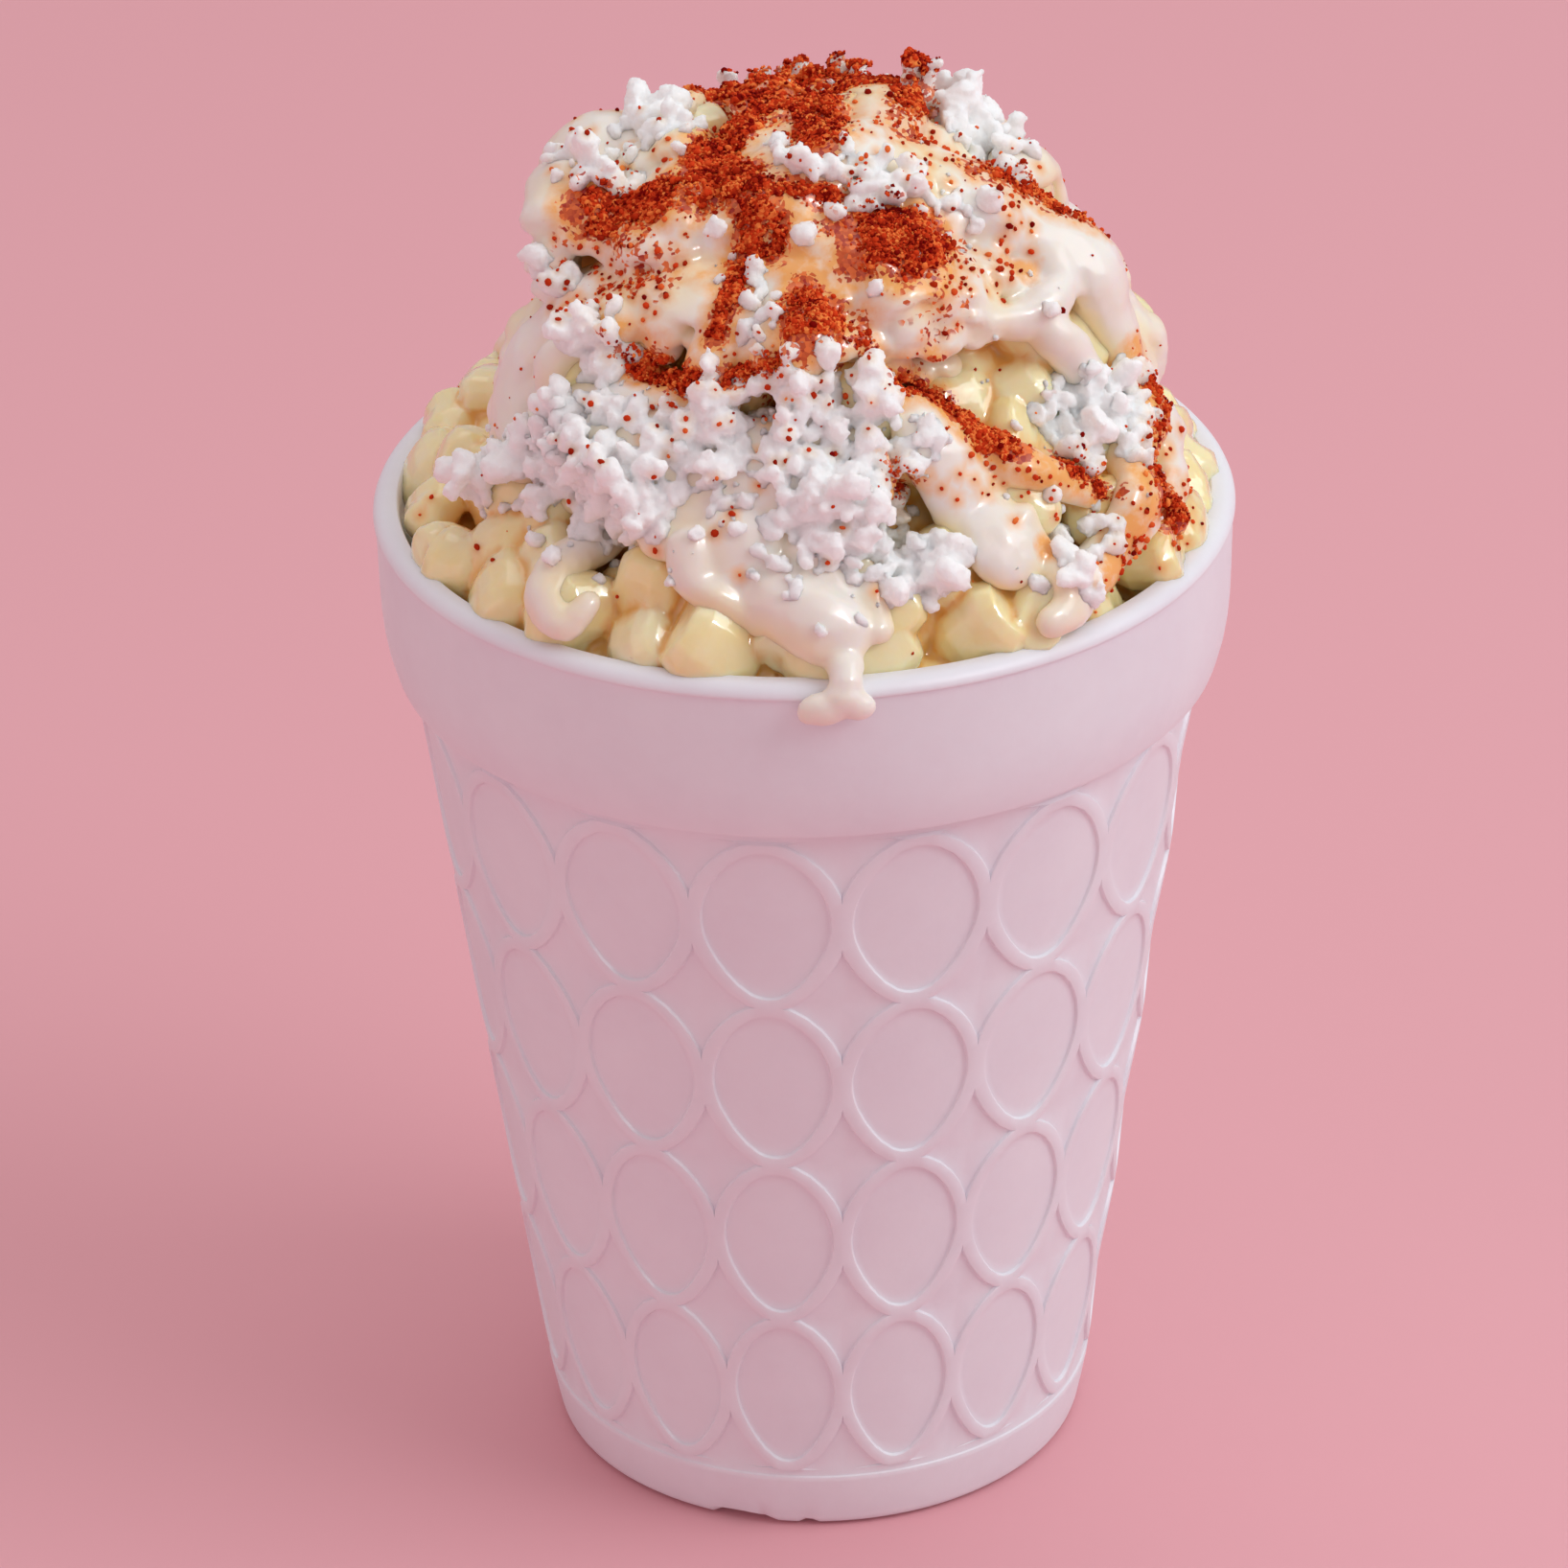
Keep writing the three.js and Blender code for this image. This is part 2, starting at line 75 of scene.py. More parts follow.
# Radius of the heap's outline from its centre, by elevation, on its four sides.
ELEVATIONS = [-10, 5, 14, 24, 38, 52, 60, 68, 90]
OUTLINE = {
    "front": [44.5, 45, 44.5, 42, 41, 44.5, 47.9, 49.9, 51],
    "right": [44.5, 44.5, 44.5, 42.8, 45, 48, 50.6, 51.6, 51],
    "back": [44.5, 45, 44.5, 41.5, 41, 44.5, 47.9, 49.9, 51],
    "left": [44.5, 44.5, 43.5, 38, 38.5, 44.4, 50.6, 52, 51],
}
# Hollows between the upper and the lower scoop: azimuth, elevation, reach in degrees, depth in millimetres.
HOLLOWS = [
    (-31, 53.5, 6, 4.5),
    (-14, 50.5, 5, 3.5),
    (36, 49, 9, 4.0),
    (57, 43, 7, 3.5),
    (-105, 40, 13, 2.5),
    (150, 44, 16, 3.0),
    (-160, 50, 12, 3.0),
]

KERNELS = 122  # in the layer that shows
RIM_KERNELS = 30  # against the wall, all the way round
UNDER_KERNELS = 200
KERNEL_SHAPES = 12
KERNEL_DEPTH = 3.6 * MM  # their middles' depth under the heap's outline
UNDER_KERNEL_DEPTH = 8.2 * MM
KERNEL_BODY_FOOT = 99 * MM  # the kernels that show are one body down to this height, in the cup
CORE_DEPTH = 8.6 * MM  # the mass under the kernels, below the heap's outline
CORE_LOWEST = -12  # degrees of elevation: below this the mass follows the cup's wall
HEAP_RADIUS = 50  # millimetres of heap for one unit along a direction, as trails measure it

# How finely each kind of piece is fused, and the most triangles that a fused piece keeps.
KERNEL_VOXEL, KERNEL_TRIANGLES = 0.38 * MM, 185000
CREAM_VOXEL, CREAM_TRIANGLES = 0.42 * MM, 190000
CRUMB_VOXEL, CRUMB_TRIANGLES = 0.27 * MM, 190000
CRUST_VOXEL, CRUST_TRIANGLES = 0.26 * MM, 120000
SEED = 11

rng = np.random.default_rng(SEED)

# --------------------------------------------------------------------------------------------------
# Operator helpers
# --------------------------------------------------------------------------------------------------


def done():
    """Leaves edit mode."""
    if bpy.context.object and bpy.context.object.mode != "OBJECT":
        bpy.ops.object.mode_set(mode="OBJECT")


def only(piece):
    """Selects one piece and nothing else, and makes it active."""
    done()
    bpy.ops.object.select_all(action="DESELECT")
    piece.select_set(True)
    bpy.context.view_layer.objects.active = piece
    return piece


def bring_in(name, data):
    """Puts a new object in the scene."""
    piece = bpy.data.objects.new(name, data)
    bpy.context.scene.collection.objects.link(piece)
    return piece


def primitive(kind, name, **sizes):
    """Adds a mesh primitive, with nothing else selected."""
    done()
    bpy.ops.object.select_all(action="DESELECT")
    getattr(bpy.ops.mesh, f"primitive_{kind}_add")(**sizes)
    piece = bpy.context.object
    piece.name = piece.data.name = name
    return piece


def edit(piece, chosen=None):
    """Enters edit mode with the vertices chosen by their place, or all of them."""
    only(piece)
    bpy.context.tool_settings.mesh_select_mode = (True, False, False)
    bpy.ops.object.mode_set(mode="EDIT")
    bpy.ops.mesh.select_all(action="SELECT" if chosen is None else "DESELECT")
    bpy.ops.object.mode_set(mode="OBJECT")
    if chosen is not None:
        for vertex in piece.data.vertices:
            vertex.select = bool(chosen(vertex.co))
    bpy.ops.object.mode_set(mode="EDIT")
    bpy.ops.mesh.select_mode(type="VERT")


def resize(x, y, z):
    """Resizes what is selected about the origin."""
    bpy.ops.transform.resize(value=(x, y, z), center_override=(0, 0, 0))


def modify(piece, kind, **settings):
    """Adds a modifier, and applies it."""
    only(piece)
    modifier = piece.modifiers.new(kind.title(), kind)
    for key, value in settings.items():
        setattr(modifier, key, value)
    bpy.ops.object.modifier_apply(modifier=modifier.name)


def roughen(piece, name, scale, strength):
    """Pushes a piece's skin in and out in a cloudy pattern."""
    pattern = bpy.data.textures.new(name, "CLOUDS")
    pattern.noise_scale = scale
    settings = {"texture_coords": "LOCAL", "strength": strength, "mid_level": 0.5}
    modify(piece, "DISPLACE", texture=pattern, **settings)


def smooth(piece, angle=None):
    only(piece)
    if angle is None:
        bpy.ops.object.shade_smooth()
    else:
        bpy.ops.object.shade_smooth_by_angle(angle=math.radians(angle))
    return piece


def weld(piece, distance=0.02 * MM, outwards=False):
    edit(piece)
    bpy.ops.mesh.remove_doubles(threshold=distance)
    if outwards:
        bpy.ops.mesh.normals_make_consistent(inside=False)
    done()


def read(items, name, width=1, kind=np.float32):
    """One value, or a row of values, for each item of a mesh."""
    values = np.empty(len(items) * width, kind)
    items.foreach_get(name, values)
    return values.reshape(-1, width) if width > 1 else values


def places_of(piece):
    return read(piece.data.vertices, "co", 3, float)


def normals_of(piece):
    return read(piece.data.vertices, "normal", 3)


def mark_points(mesh, name, values):
    """Gives each vertex a value that materials can read."""
    mark = mesh.attributes.get(name) or mesh.attributes.new(name, "FLOAT", "POINT")
    mark.data.foreach_set("value", np.asarray(values, np.float32))


def values_of(piece, name):
    """The values that mark_points gave."""
    return read(piece.data.attributes[name].data, "value")


def move_to(piece, places):
    piece.data.vertices.foreach_set("co", np.ascontiguousarray(places, dtype=np.float32).ravel())
    piece.data.update()


def finish(piece, material, slot, *nodes):
    piece.data.materials.clear()
    piece.data.materials.append(material)
    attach(piece, "root")
    if nodes:
        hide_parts(*nodes)
    return piece


# --------------------------------------------------------------------------------------------------
# The heap's shape
# --------------------------------------------------------------------------------------------------


def through(x, xs, ys):
    """A smooth curve through the values ys at xs."""
    xs = np.asarray(xs, float)
    ys = np.asarray(ys, float)
    slopes = np.gradient(ys, xs)
    slopes[-1] = 0
    held = np.clip(x, xs[0], xs[-1])
    i = np.clip(np.searchsorted(xs, held, side="right") - 1, 0, len(xs) - 2)
    span = xs[i + 1] - xs[i]
    t = (held - xs[i]) / span
    return (
        (2 * t**3 - 3 * t**2 + 1) * ys[i]
        + (t**3 - 2 * t**2 + t) * span * slopes[i]
        + (3 * t**2 - 2 * t**3) * ys[i + 1]
        + (t**3 - t**2) * span * slopes[i + 1]
    )


def outline_radius(azimuth, elevation):
    """Distance from the heap's centre to its outline. Azimuth 0 is at the front, and 90 at the right."""
    ahead, right = np.cos(np.radians(azimuth)), np.sin(np.radians(azimuth))
    facing = {"front": ahead, "back": -ahead, "right": right, "left": -right}
    radius = sum(
        np.maximum(facing[side], 0) ** 2 * through(elevation, ELEVATIONS, OUTLINE[side]) for side in facing
    )
    for hollow_azimuth, hollow_elevation, reach, depth in HOLLOWS:
        turn = (azimuth - hollow_azimuth + 180) % 360 - 180
        across = turn * np.cos(np.radians(elevation)) / reach
        along = (elevation - hollow_elevation) / reach
        radius = radius - depth * np.exp(-(across**2 + along**2))
    return radius * MM


def direction(azimuth, elevation):
    """Unit vectors from the heap's centre."""
    a, e = np.radians(azimuth), np.radians(elevation)
    return np.stack([np.sin(a) * np.cos(e), -np.cos(a) * np.cos(e), np.sin(e) * np.ones_like(a)], axis=-1)


def angles_towards(ways):
    """Azimuth and elevation in degrees of unit vectors."""
    azimuth = np.degrees(np.arctan2(ways[:, 0], -ways[:, 1]))
    return azimuth, np.degrees(np.arcsin(np.clip(ways[:, 2], -1, 1)))


def angles_of(places):
    """Azimuth and elevation in degrees of places round the heap's centre."""
    offset = np.asarray(places) - np.array(MOUND_CENTRE)
    azimuth = np.degrees(np.arctan2(offset[..., 0], -offset[..., 1]))
    elevation = np.degrees(np.arctan2(offset[..., 2], np.hypot(offset[..., 0], offset[..., 1])))
    return azimuth, elevation


def wall_outer(z):
    share = (z - FOOT_HEIGHT) / (COLLAR_BOTTOM - FOOT_HEIGHT)
    return WALL_FOOT_RADIUS + share * (WALL_TOP_RADIUS - WALL_FOOT_RADIUS)


def wall_inner(z):
    return wall_outer(z) - WALL


def turn_to(normal, spin):
    """A turn that points +Z along normal, after a spin about it."""
    return normal.to_track_quat("Z", "Y").to_matrix() @ Matrix.Rotation(spin, 3, "Z")


def joined_copies(name, shapes, copies, **marks):
    """One mesh of many copies, each (which shape, turn and scale, place). A mark has a value for each."""
    places, loops, sizes, spans, first = [], [], [], [], 0
    for which, turn, place_at in copies:
        shape_places, shape_loops, shape_sizes = shapes[which]
        places.append(shape_places @ np.asarray(turn).T + np.asarray(place_at))
        loops.append(shape_loops + first)
        sizes.append(shape_sizes)
        first += len(shape_places)
        spans.append(len(shape_places))
    places, loops, sizes = np.concatenate(places), np.concatenate(loops), np.concatenate(sizes)
    starts = np.concatenate([[0], np.cumsum(sizes)[:-1]])
    mesh = bpy.data.meshes.new(name)
    mesh.vertices.add(len(places))
    mesh.vertices.foreach_set("co", places.astype(np.float32).ravel())
    mesh.loops.add(len(loops))
    mesh.loops.foreach_set("vertex_index", loops.astype(np.int32))
    mesh.polygons.add(len(sizes))
    mesh.polygons.foreach_set("loop_start", starts.astype(np.int32))
    mesh.update(calc_edges=True)
    for mark, values in marks.items():
        mark_points(mesh, mark, np.repeat(values, spans))
    return bring_in(name, mesh)


def shape_of(piece):
    """A piece's places, loops and face sizes, for joined_copies. The piece itself is removed."""
    loops = read(piece.data.loops, "vertex_index", kind=np.int32)
    sizes = read(piece.data.polygons, "loop_total", kind=np.int32)
    shape = (places_of(piece), loops, sizes)
    bpy.data.objects.remove(piece)
    return shape


class Surface:
    """What has been laid so far, for finding where the next thing comes to rest."""

    def __init__(self):
        self.places, self.faces = [], []
        self.tree = None

    def add(self, piece):
        mesh = piece.data
        mesh.calc_loop_triangles()
        corners = read(mesh.loop_triangles, "vertices", 3, np.int32)
        first = sum(len(p) for p in self.places)
        self.places.append(places_of(piece))
        self.faces.append(corners + first)
        places = np.concatenate(self.places)
        faces = np.concatenate(self.faces)
        self.tree = BVHTree.FromPolygons(places.tolist(), faces.tolist())

    def radius(self, towards):
        """Distance from the heap's centre to the outermost surface that way, and the surface's normal."""
        out = Vector(towards)
        far = MOUND_CENTRE + out * 0.09
        hit, normal, _, _ = self.tree.ray_cast(far, -out, 0.09)
        if hit is None:
            return None, out
        return (hit - MOUND_CENTRE).length, normal


# --------------------------------------------------------------------------------------------------
# Materials
# --------------------------------------------------------------------------------------------------


class Look:
    """A material's nodes."""

    def __init__(self, name, **sockets):
        self.material = bpy.data.materials.new(name)
        self.material.use_nodes = True
        self.tree = self.material.node_tree
        self.shader = self.tree.nodes["Principled BSDF"]
        for socket, value in sockets.items():
            self.shader.inputs[socket.replace("_", " ")].default_value = value

    def node(self, kind, **inputs):
        node = self.tree.nodes.new(kind)
        for key, value in inputs.items():
            if hasattr(node, key):
                setattr(node, key, value)
            else:
                self.feed(node, key.replace("_", " "), value)
        return node

    def feed(self, node, socket, value):
        target = node.inputs[socket]
        if isinstance(value, bpy.types.NodeSocket):
            self.tree.links.new(value, target)
        else:
            target.default_value = value

    def place(self):
        return self.node("ShaderNodeTexCoord").outputs["Object"]

    def noise(self, scale, detail=3.0, roughness=0.5):
        sockets = {"Scale": scale, "Detail": detail, "Roughness": roughness}
        return self.node("ShaderNodeTexNoise", Vector=self.place(), **sockets).outputs["Fac"]

    def cells(self, scale):
        """Small cells: the distance to a cell's middle, and random numbers for the cell."""
        cells = self.node("ShaderNodeTexVoronoi", Vector=self.place(), Scale=scale)
        split = self.node("ShaderNodeSeparateColor", Color=cells.outputs["Color"])
        return cells.outputs["Distance"], split.outputs

    def ramp(self, value, low, high, low_out=0.0, high_out=1.0):
        ends = {"From_Min": low, "From_Max": high, "To_Min": low_out, "To_Max": high_out}
        return self.node("ShaderNodeMapRange", Value=value, **ends).outputs["Result"]

    def maths(self, operation, a, b=0.0):
        node = self.node("ShaderNodeMath", operation=operation)
        self.feed(node, 0, a)
        self.feed(node, 1, b)
        return node.outputs[0]

    def mix(self, share, a, b):
        node = self.node("ShaderNodeMix", data_type="RGBA")
        for index, value in ((0, share), (6, a), (7, b)):
            self.feed(node, index, (*value, 1) if isinstance(value, tuple) else value)
        return node.outputs[2]

    def attribute(self, name):
        return self.node("ShaderNodeAttribute", attribute_name=name).outputs["Fac"]

    def colour(self, value):
        self.feed(self.shader, "Base Color", value)

    def bump(self, height, distance, strength=1.0, under=None):
        node = self.node("ShaderNodeBump", Height=height, Distance=distance, Strength=strength)
        if under is not None:
            self.feed(node, "Normal", under)
        self.feed(self.shader, "Normal", node.outputs["Normal"])
        return node.outputs["Normal"]


def foam_look():
    """White foam: small flattened beads pressed together, faint smudges and a few dark specks."""
    look = Look(
        "foam",
        Roughness=0.5,
        Subsurface_Weight=0.25,
        Subsurface_Radius=(1, 0.9, 0.9),
        Subsurface_Scale=1.5 * MM,
        Coat_Weight=0.12,
        Coat_Roughness=0.45,
    )
    beads = look.node("ShaderNodeTexVoronoi", Vector=look.place(), Scale=560.0)
    bead_height = look.ramp(beads.outputs["Distance"], 0.1, 0.7, 1.0, 0.0)
    mottled = look.ramp(look.noise(480.0, 4.0, 0.6), 0.3, 0.75)
    smudge = look.ramp(look.noise(90.0, 3.0), 0.35, 0.75)
    away, rare = look.cells(170.0)
    near = look.ramp(away, 0.025, 0.045, 1.0, 0.0)
    speck = look.maths("MULTIPLY", near, look.ramp(rare[0], 0.9, 0.92))
    white = look.mix(smudge, (0.8, 0.785, 0.845), (0.83, 0.83, 0.88))
    white = look.mix(look.maths("MULTIPLY", mottled, 0.25), white, (0.84, 0.87, 0.93))
    look.colour(look.mix(look.maths("MULTIPLY", speck, 0.5), white, (0.25, 0.13, 0.12)))
    grain = look.bump(bead_height, 0.04 * MM, 0.25)
    look.bump(look.noise(900.0, 2.0), 0.06 * MM, 0.3, grain)
    return look.material


def dusted(look, plain, oil, dust):
    """The plain colour under ground chile: orange oil that spreads from it, and fine grains of it."""
    amount = look.attribute("chile")
    patchy = look.ramp(look.noise(650.0, 4.0, 0.6), 0.3, 0.7, 0.55, 1.25)
    spread = look.ramp(look.maths("MULTIPLY", look.attribute("oil"), patchy), 0.1, 0.85, 0, oil)
    spread = look.maths("MAXIMUM", spread, look.ramp(look.attribute("halo"), 0.0, 1.0, 0.0, 0.85 * oil))
    tinted = look.mix(spread, plain, (0.93, 0.41, 0.07))
    _, speckle = look.cells(2000.0)
    here = look.maths("SUBTRACT", amount, look.maths("MULTIPLY", speckle[0], 0.95))
    grain = look.ramp(here, 0.0, 0.08, 0.0, dust)
    return look.mix(grain, tinted, look.mix(speckle[1], (0.4, 0.012, 0.002), (0.92, 0.22, 0.04)))


def kernel_look():
    """Cooked kernels: pale yellow, translucent and wet, each its own tone, with painted shade in deeper
    golden in the gaps and deeper down.
    """
    look = Look(
        "corn_kernel",
        Roughness=0.2,
        Subsurface_Weight=0.6,
        Subsurface_Radius=(1.0, 0.7, 0.35),
        Subsurface_Scale=1.5 * MM,
        Coat_Weight=1.0,
        Coat_Roughness=0.06,
        IOR=1.42,
    )
    tone = look.attribute("tone")
    body = look.mix(tone, (0.95, 0.76, 0.36), (0.96, 0.855, 0.54))
    cloud = look.ramp(look.noise(330.0, 3.0), 0.35, 0.75)
    body = look.mix(look.maths("MULTIPLY", cloud, 0.5), body, (0.96, 0.88, 0.62))
    # Painted shade: deeper golden where a kernel lies deep under the heap's outline.
    body = look.mix(look.ramp(look.attribute("buried_shade"), 0.15, 0.9, 0, 0.8), body, (0.93, 0.52, 0.15))
    # Painted shade: darker golden in the creases between kernels.
    body = look.mix(look.ramp(look.attribute("crease_shade"), 0.03, 0.6, 0, 0.85), body, (0.88, 0.47, 0.1))
    look.colour(dusted(look, body, 0.8, 0.95))
    look.bump(look.noise(420.0, 3.0), 0.25 * MM, 0.35)
    return look.material


def under_corn_look():
    """The shaded mass of corn and broth that shows in the gaps between kernels."""
    look = Look("under_corn", Roughness=0.3, Subsurface_Weight=0.3, Subsurface_Scale=3 * MM, Coat_Weight=0.3)
    look.colour(look.mix(look.noise(180.0), (0.96, 0.56, 0.15), (0.97, 0.7, 0.28)))
    look.bump(look.noise(260.0), 0.5 * MM, 0.5)
    return look.material


def cream_look():
    """Thick poured cream: smooth, glossy and faintly pink-yellow."""
    look = Look(
        "cream",
        Roughness=0.32,
        Subsurface_Weight=0.4,
        Subsurface_Radius=(1.0, 0.7, 0.45),
        Subsurface_Scale=0.9 * MM,
        Coat_Weight=0.28,
        Coat_Roughness=0.14,
        IOR=1.4,
    )
    plain = look.mix(look.ramp(look.noise(90.0, 3.0), 0.35, 0.7), (0.88, 0.805, 0.71), (0.91, 0.87, 0.825))
    plain = look.mix(look.ramp(look.attribute("thin"), 0.15, 0.85, 0.0, 0.6), plain, (0.95, 0.75, 0.38))
    look.colour(dusted(look, plain, 0.9, 1.0))
    look.bump(look.noise(160.0, 2.0), 0.3 * MM, 0.25)
    return look.material


def cheese_look():
    """Fresh crumbled cheese: matte, chalky white and finely grained."""
    look = Look(
        "crumbled_cheese",
        Roughness=0.65,
        Subsurface_Weight=0.9,
        Subsurface_Radius=(1.0, 0.92, 0.88),
        Subsurface_Scale=2.0 * MM,
    )
    tone = look.attribute("tone")
    plain = look.mix(tone, (0.95, 0.94, 0.925), (0.98, 0.975, 0.965))
    look.colour(dusted(look, plain, 0.4, 0.9))
    fine = look.bump(look.noise(1900.0, 3.0, 0.6), 0.12 * MM, 0.6)
    look.bump(look.noise(850.0, 3.0, 0.6), 0.3 * MM, 0.5, fine)
    return look.material


def chile_look(name, tone=None):
    """Ground dried chile: dull, from dark brown-red to bright orange-red, grain by grain."""
    look = Look(name, Roughness=0.85, Specular_IOR_Level=0.05)
    if tone:
        shade = look.attribute(tone)
    else:
        _, speckle = look.cells(2400.0)
        broad = look.ramp(look.noise(210.0, 5.0, 0.6), 0.32, 0.68, -0.4, 0.5)
        shade = look.maths("ADD", look.maths("MULTIPLY", speckle[0], 0.75), broad)
        look.bump(look.noise(2600.0, 3.0, 0.7), 0.2 * MM, 0.8)
    dark_half = look.mix(look.ramp(shade, 0.05, 0.5), (0.2, 0.001, 0.0003), (0.7, 0.053, 0.01))
    look.colour(look.mix(look.ramp(shade, 0.5, 0.95), dark_half, (1.0, 0.3, 0.07)))
    return look.material


def floor_look():
    look = Look("floor", Roughness=0.75)
    look.colour(look.mix(look.noise(2.0, 2.0), (0.8, 0.38, 0.425), (0.82, 0.395, 0.44)))
    return look.material


# --------------------------------------------------------------------------------------------------
# The cup
# --------------------------------------------------------------------------------------------------


def cup_section():
    """Half the cup's section in metres: from the base's middle up the outside, over the rim, and down."""
    r, h = RIM_RADIUS / MM, CUP_HEIGHT / MM
    foot, collar = FOOT_HEIGHT / MM, COLLAR_BOTTOM / MM
    outside = [(0, 0), (14, 0), (28.6, 0), (29.4, 0.15), (29.85, 0.55), (30.05, 1.1), (30.6, 3.8)]
    outside += [(31.1, foot - 0.8), (31.16, foot - 0.4), (31.1, foot - 0.12), (30.95, foot)]
    outside += [(30.88, foot + 0.3)]
    wall = [(30.97, foot + 0.85), (43.03, collar - 1.7)]
    collar_root = [(43.15, collar - 1.0), (43.22, collar - 0.6)]
    collar_edge = [(43.3, collar - 0.2), (43.5, collar - 0.05), (44.9, collar), (45.2, collar + 0.12)]
    collar_side = [(45.36, collar + 0.5), (45.65, collar + 1.5), (46.05, collar + 3.1), (46.35, collar + 5)]
    collar_side += [(46.52, collar + 7), (46.62, collar + 10), (r - 0.28, h - 3.6), (r - 0.3, h - 2.6)]
    bead = [(r - 0.3, h - 1.95), (r - 0.27, h - 1.72), (r - 0.06, h - 1.58), (r, h - 1.45)]
    bead += [(r - 0.03, h - 1.2), (r - 0.2, h - 0.8), (r - 0.5, h - 0.42), (r - 0.9, h - 0.16)]
    bead += [(r - 1.35, h), (r - 2.35, h)]
    bead += [(r - 2.6, h - 0.07), (r - 2.78, h - 0.3), (r - 2.86, h - 0.8), (r - 2.95, h - 2.5)]
    top_inner = wall_inner(CUP_HEIGHT - 6 * MM) / MM
    inside = [(top_inner + 0.1, h - 5), (top_inner, h - 6), (wall_inner(50 * MM) / MM, 50)]
    inside += [(wall_inner(FLOOR + 3 * MM) / MM, FLOOR / MM + 3)]
    inside += [(wall_inner(FLOOR) / MM - 2, FLOOR / MM), (0, FLOOR / MM)]
    points = outside + wall + collar_root + collar_edge + collar_side + bead + inside
    return [(x * MM, 0, z * MM) for x, z in points], len(outside)


def half_band(angle, width_across, width_up):
    """Half the raised band's width in cell units, in a direction."""
    return 0.5 * (width_across * math.cos(angle) ** 2 + width_up * math.sin(angle) ** 2)


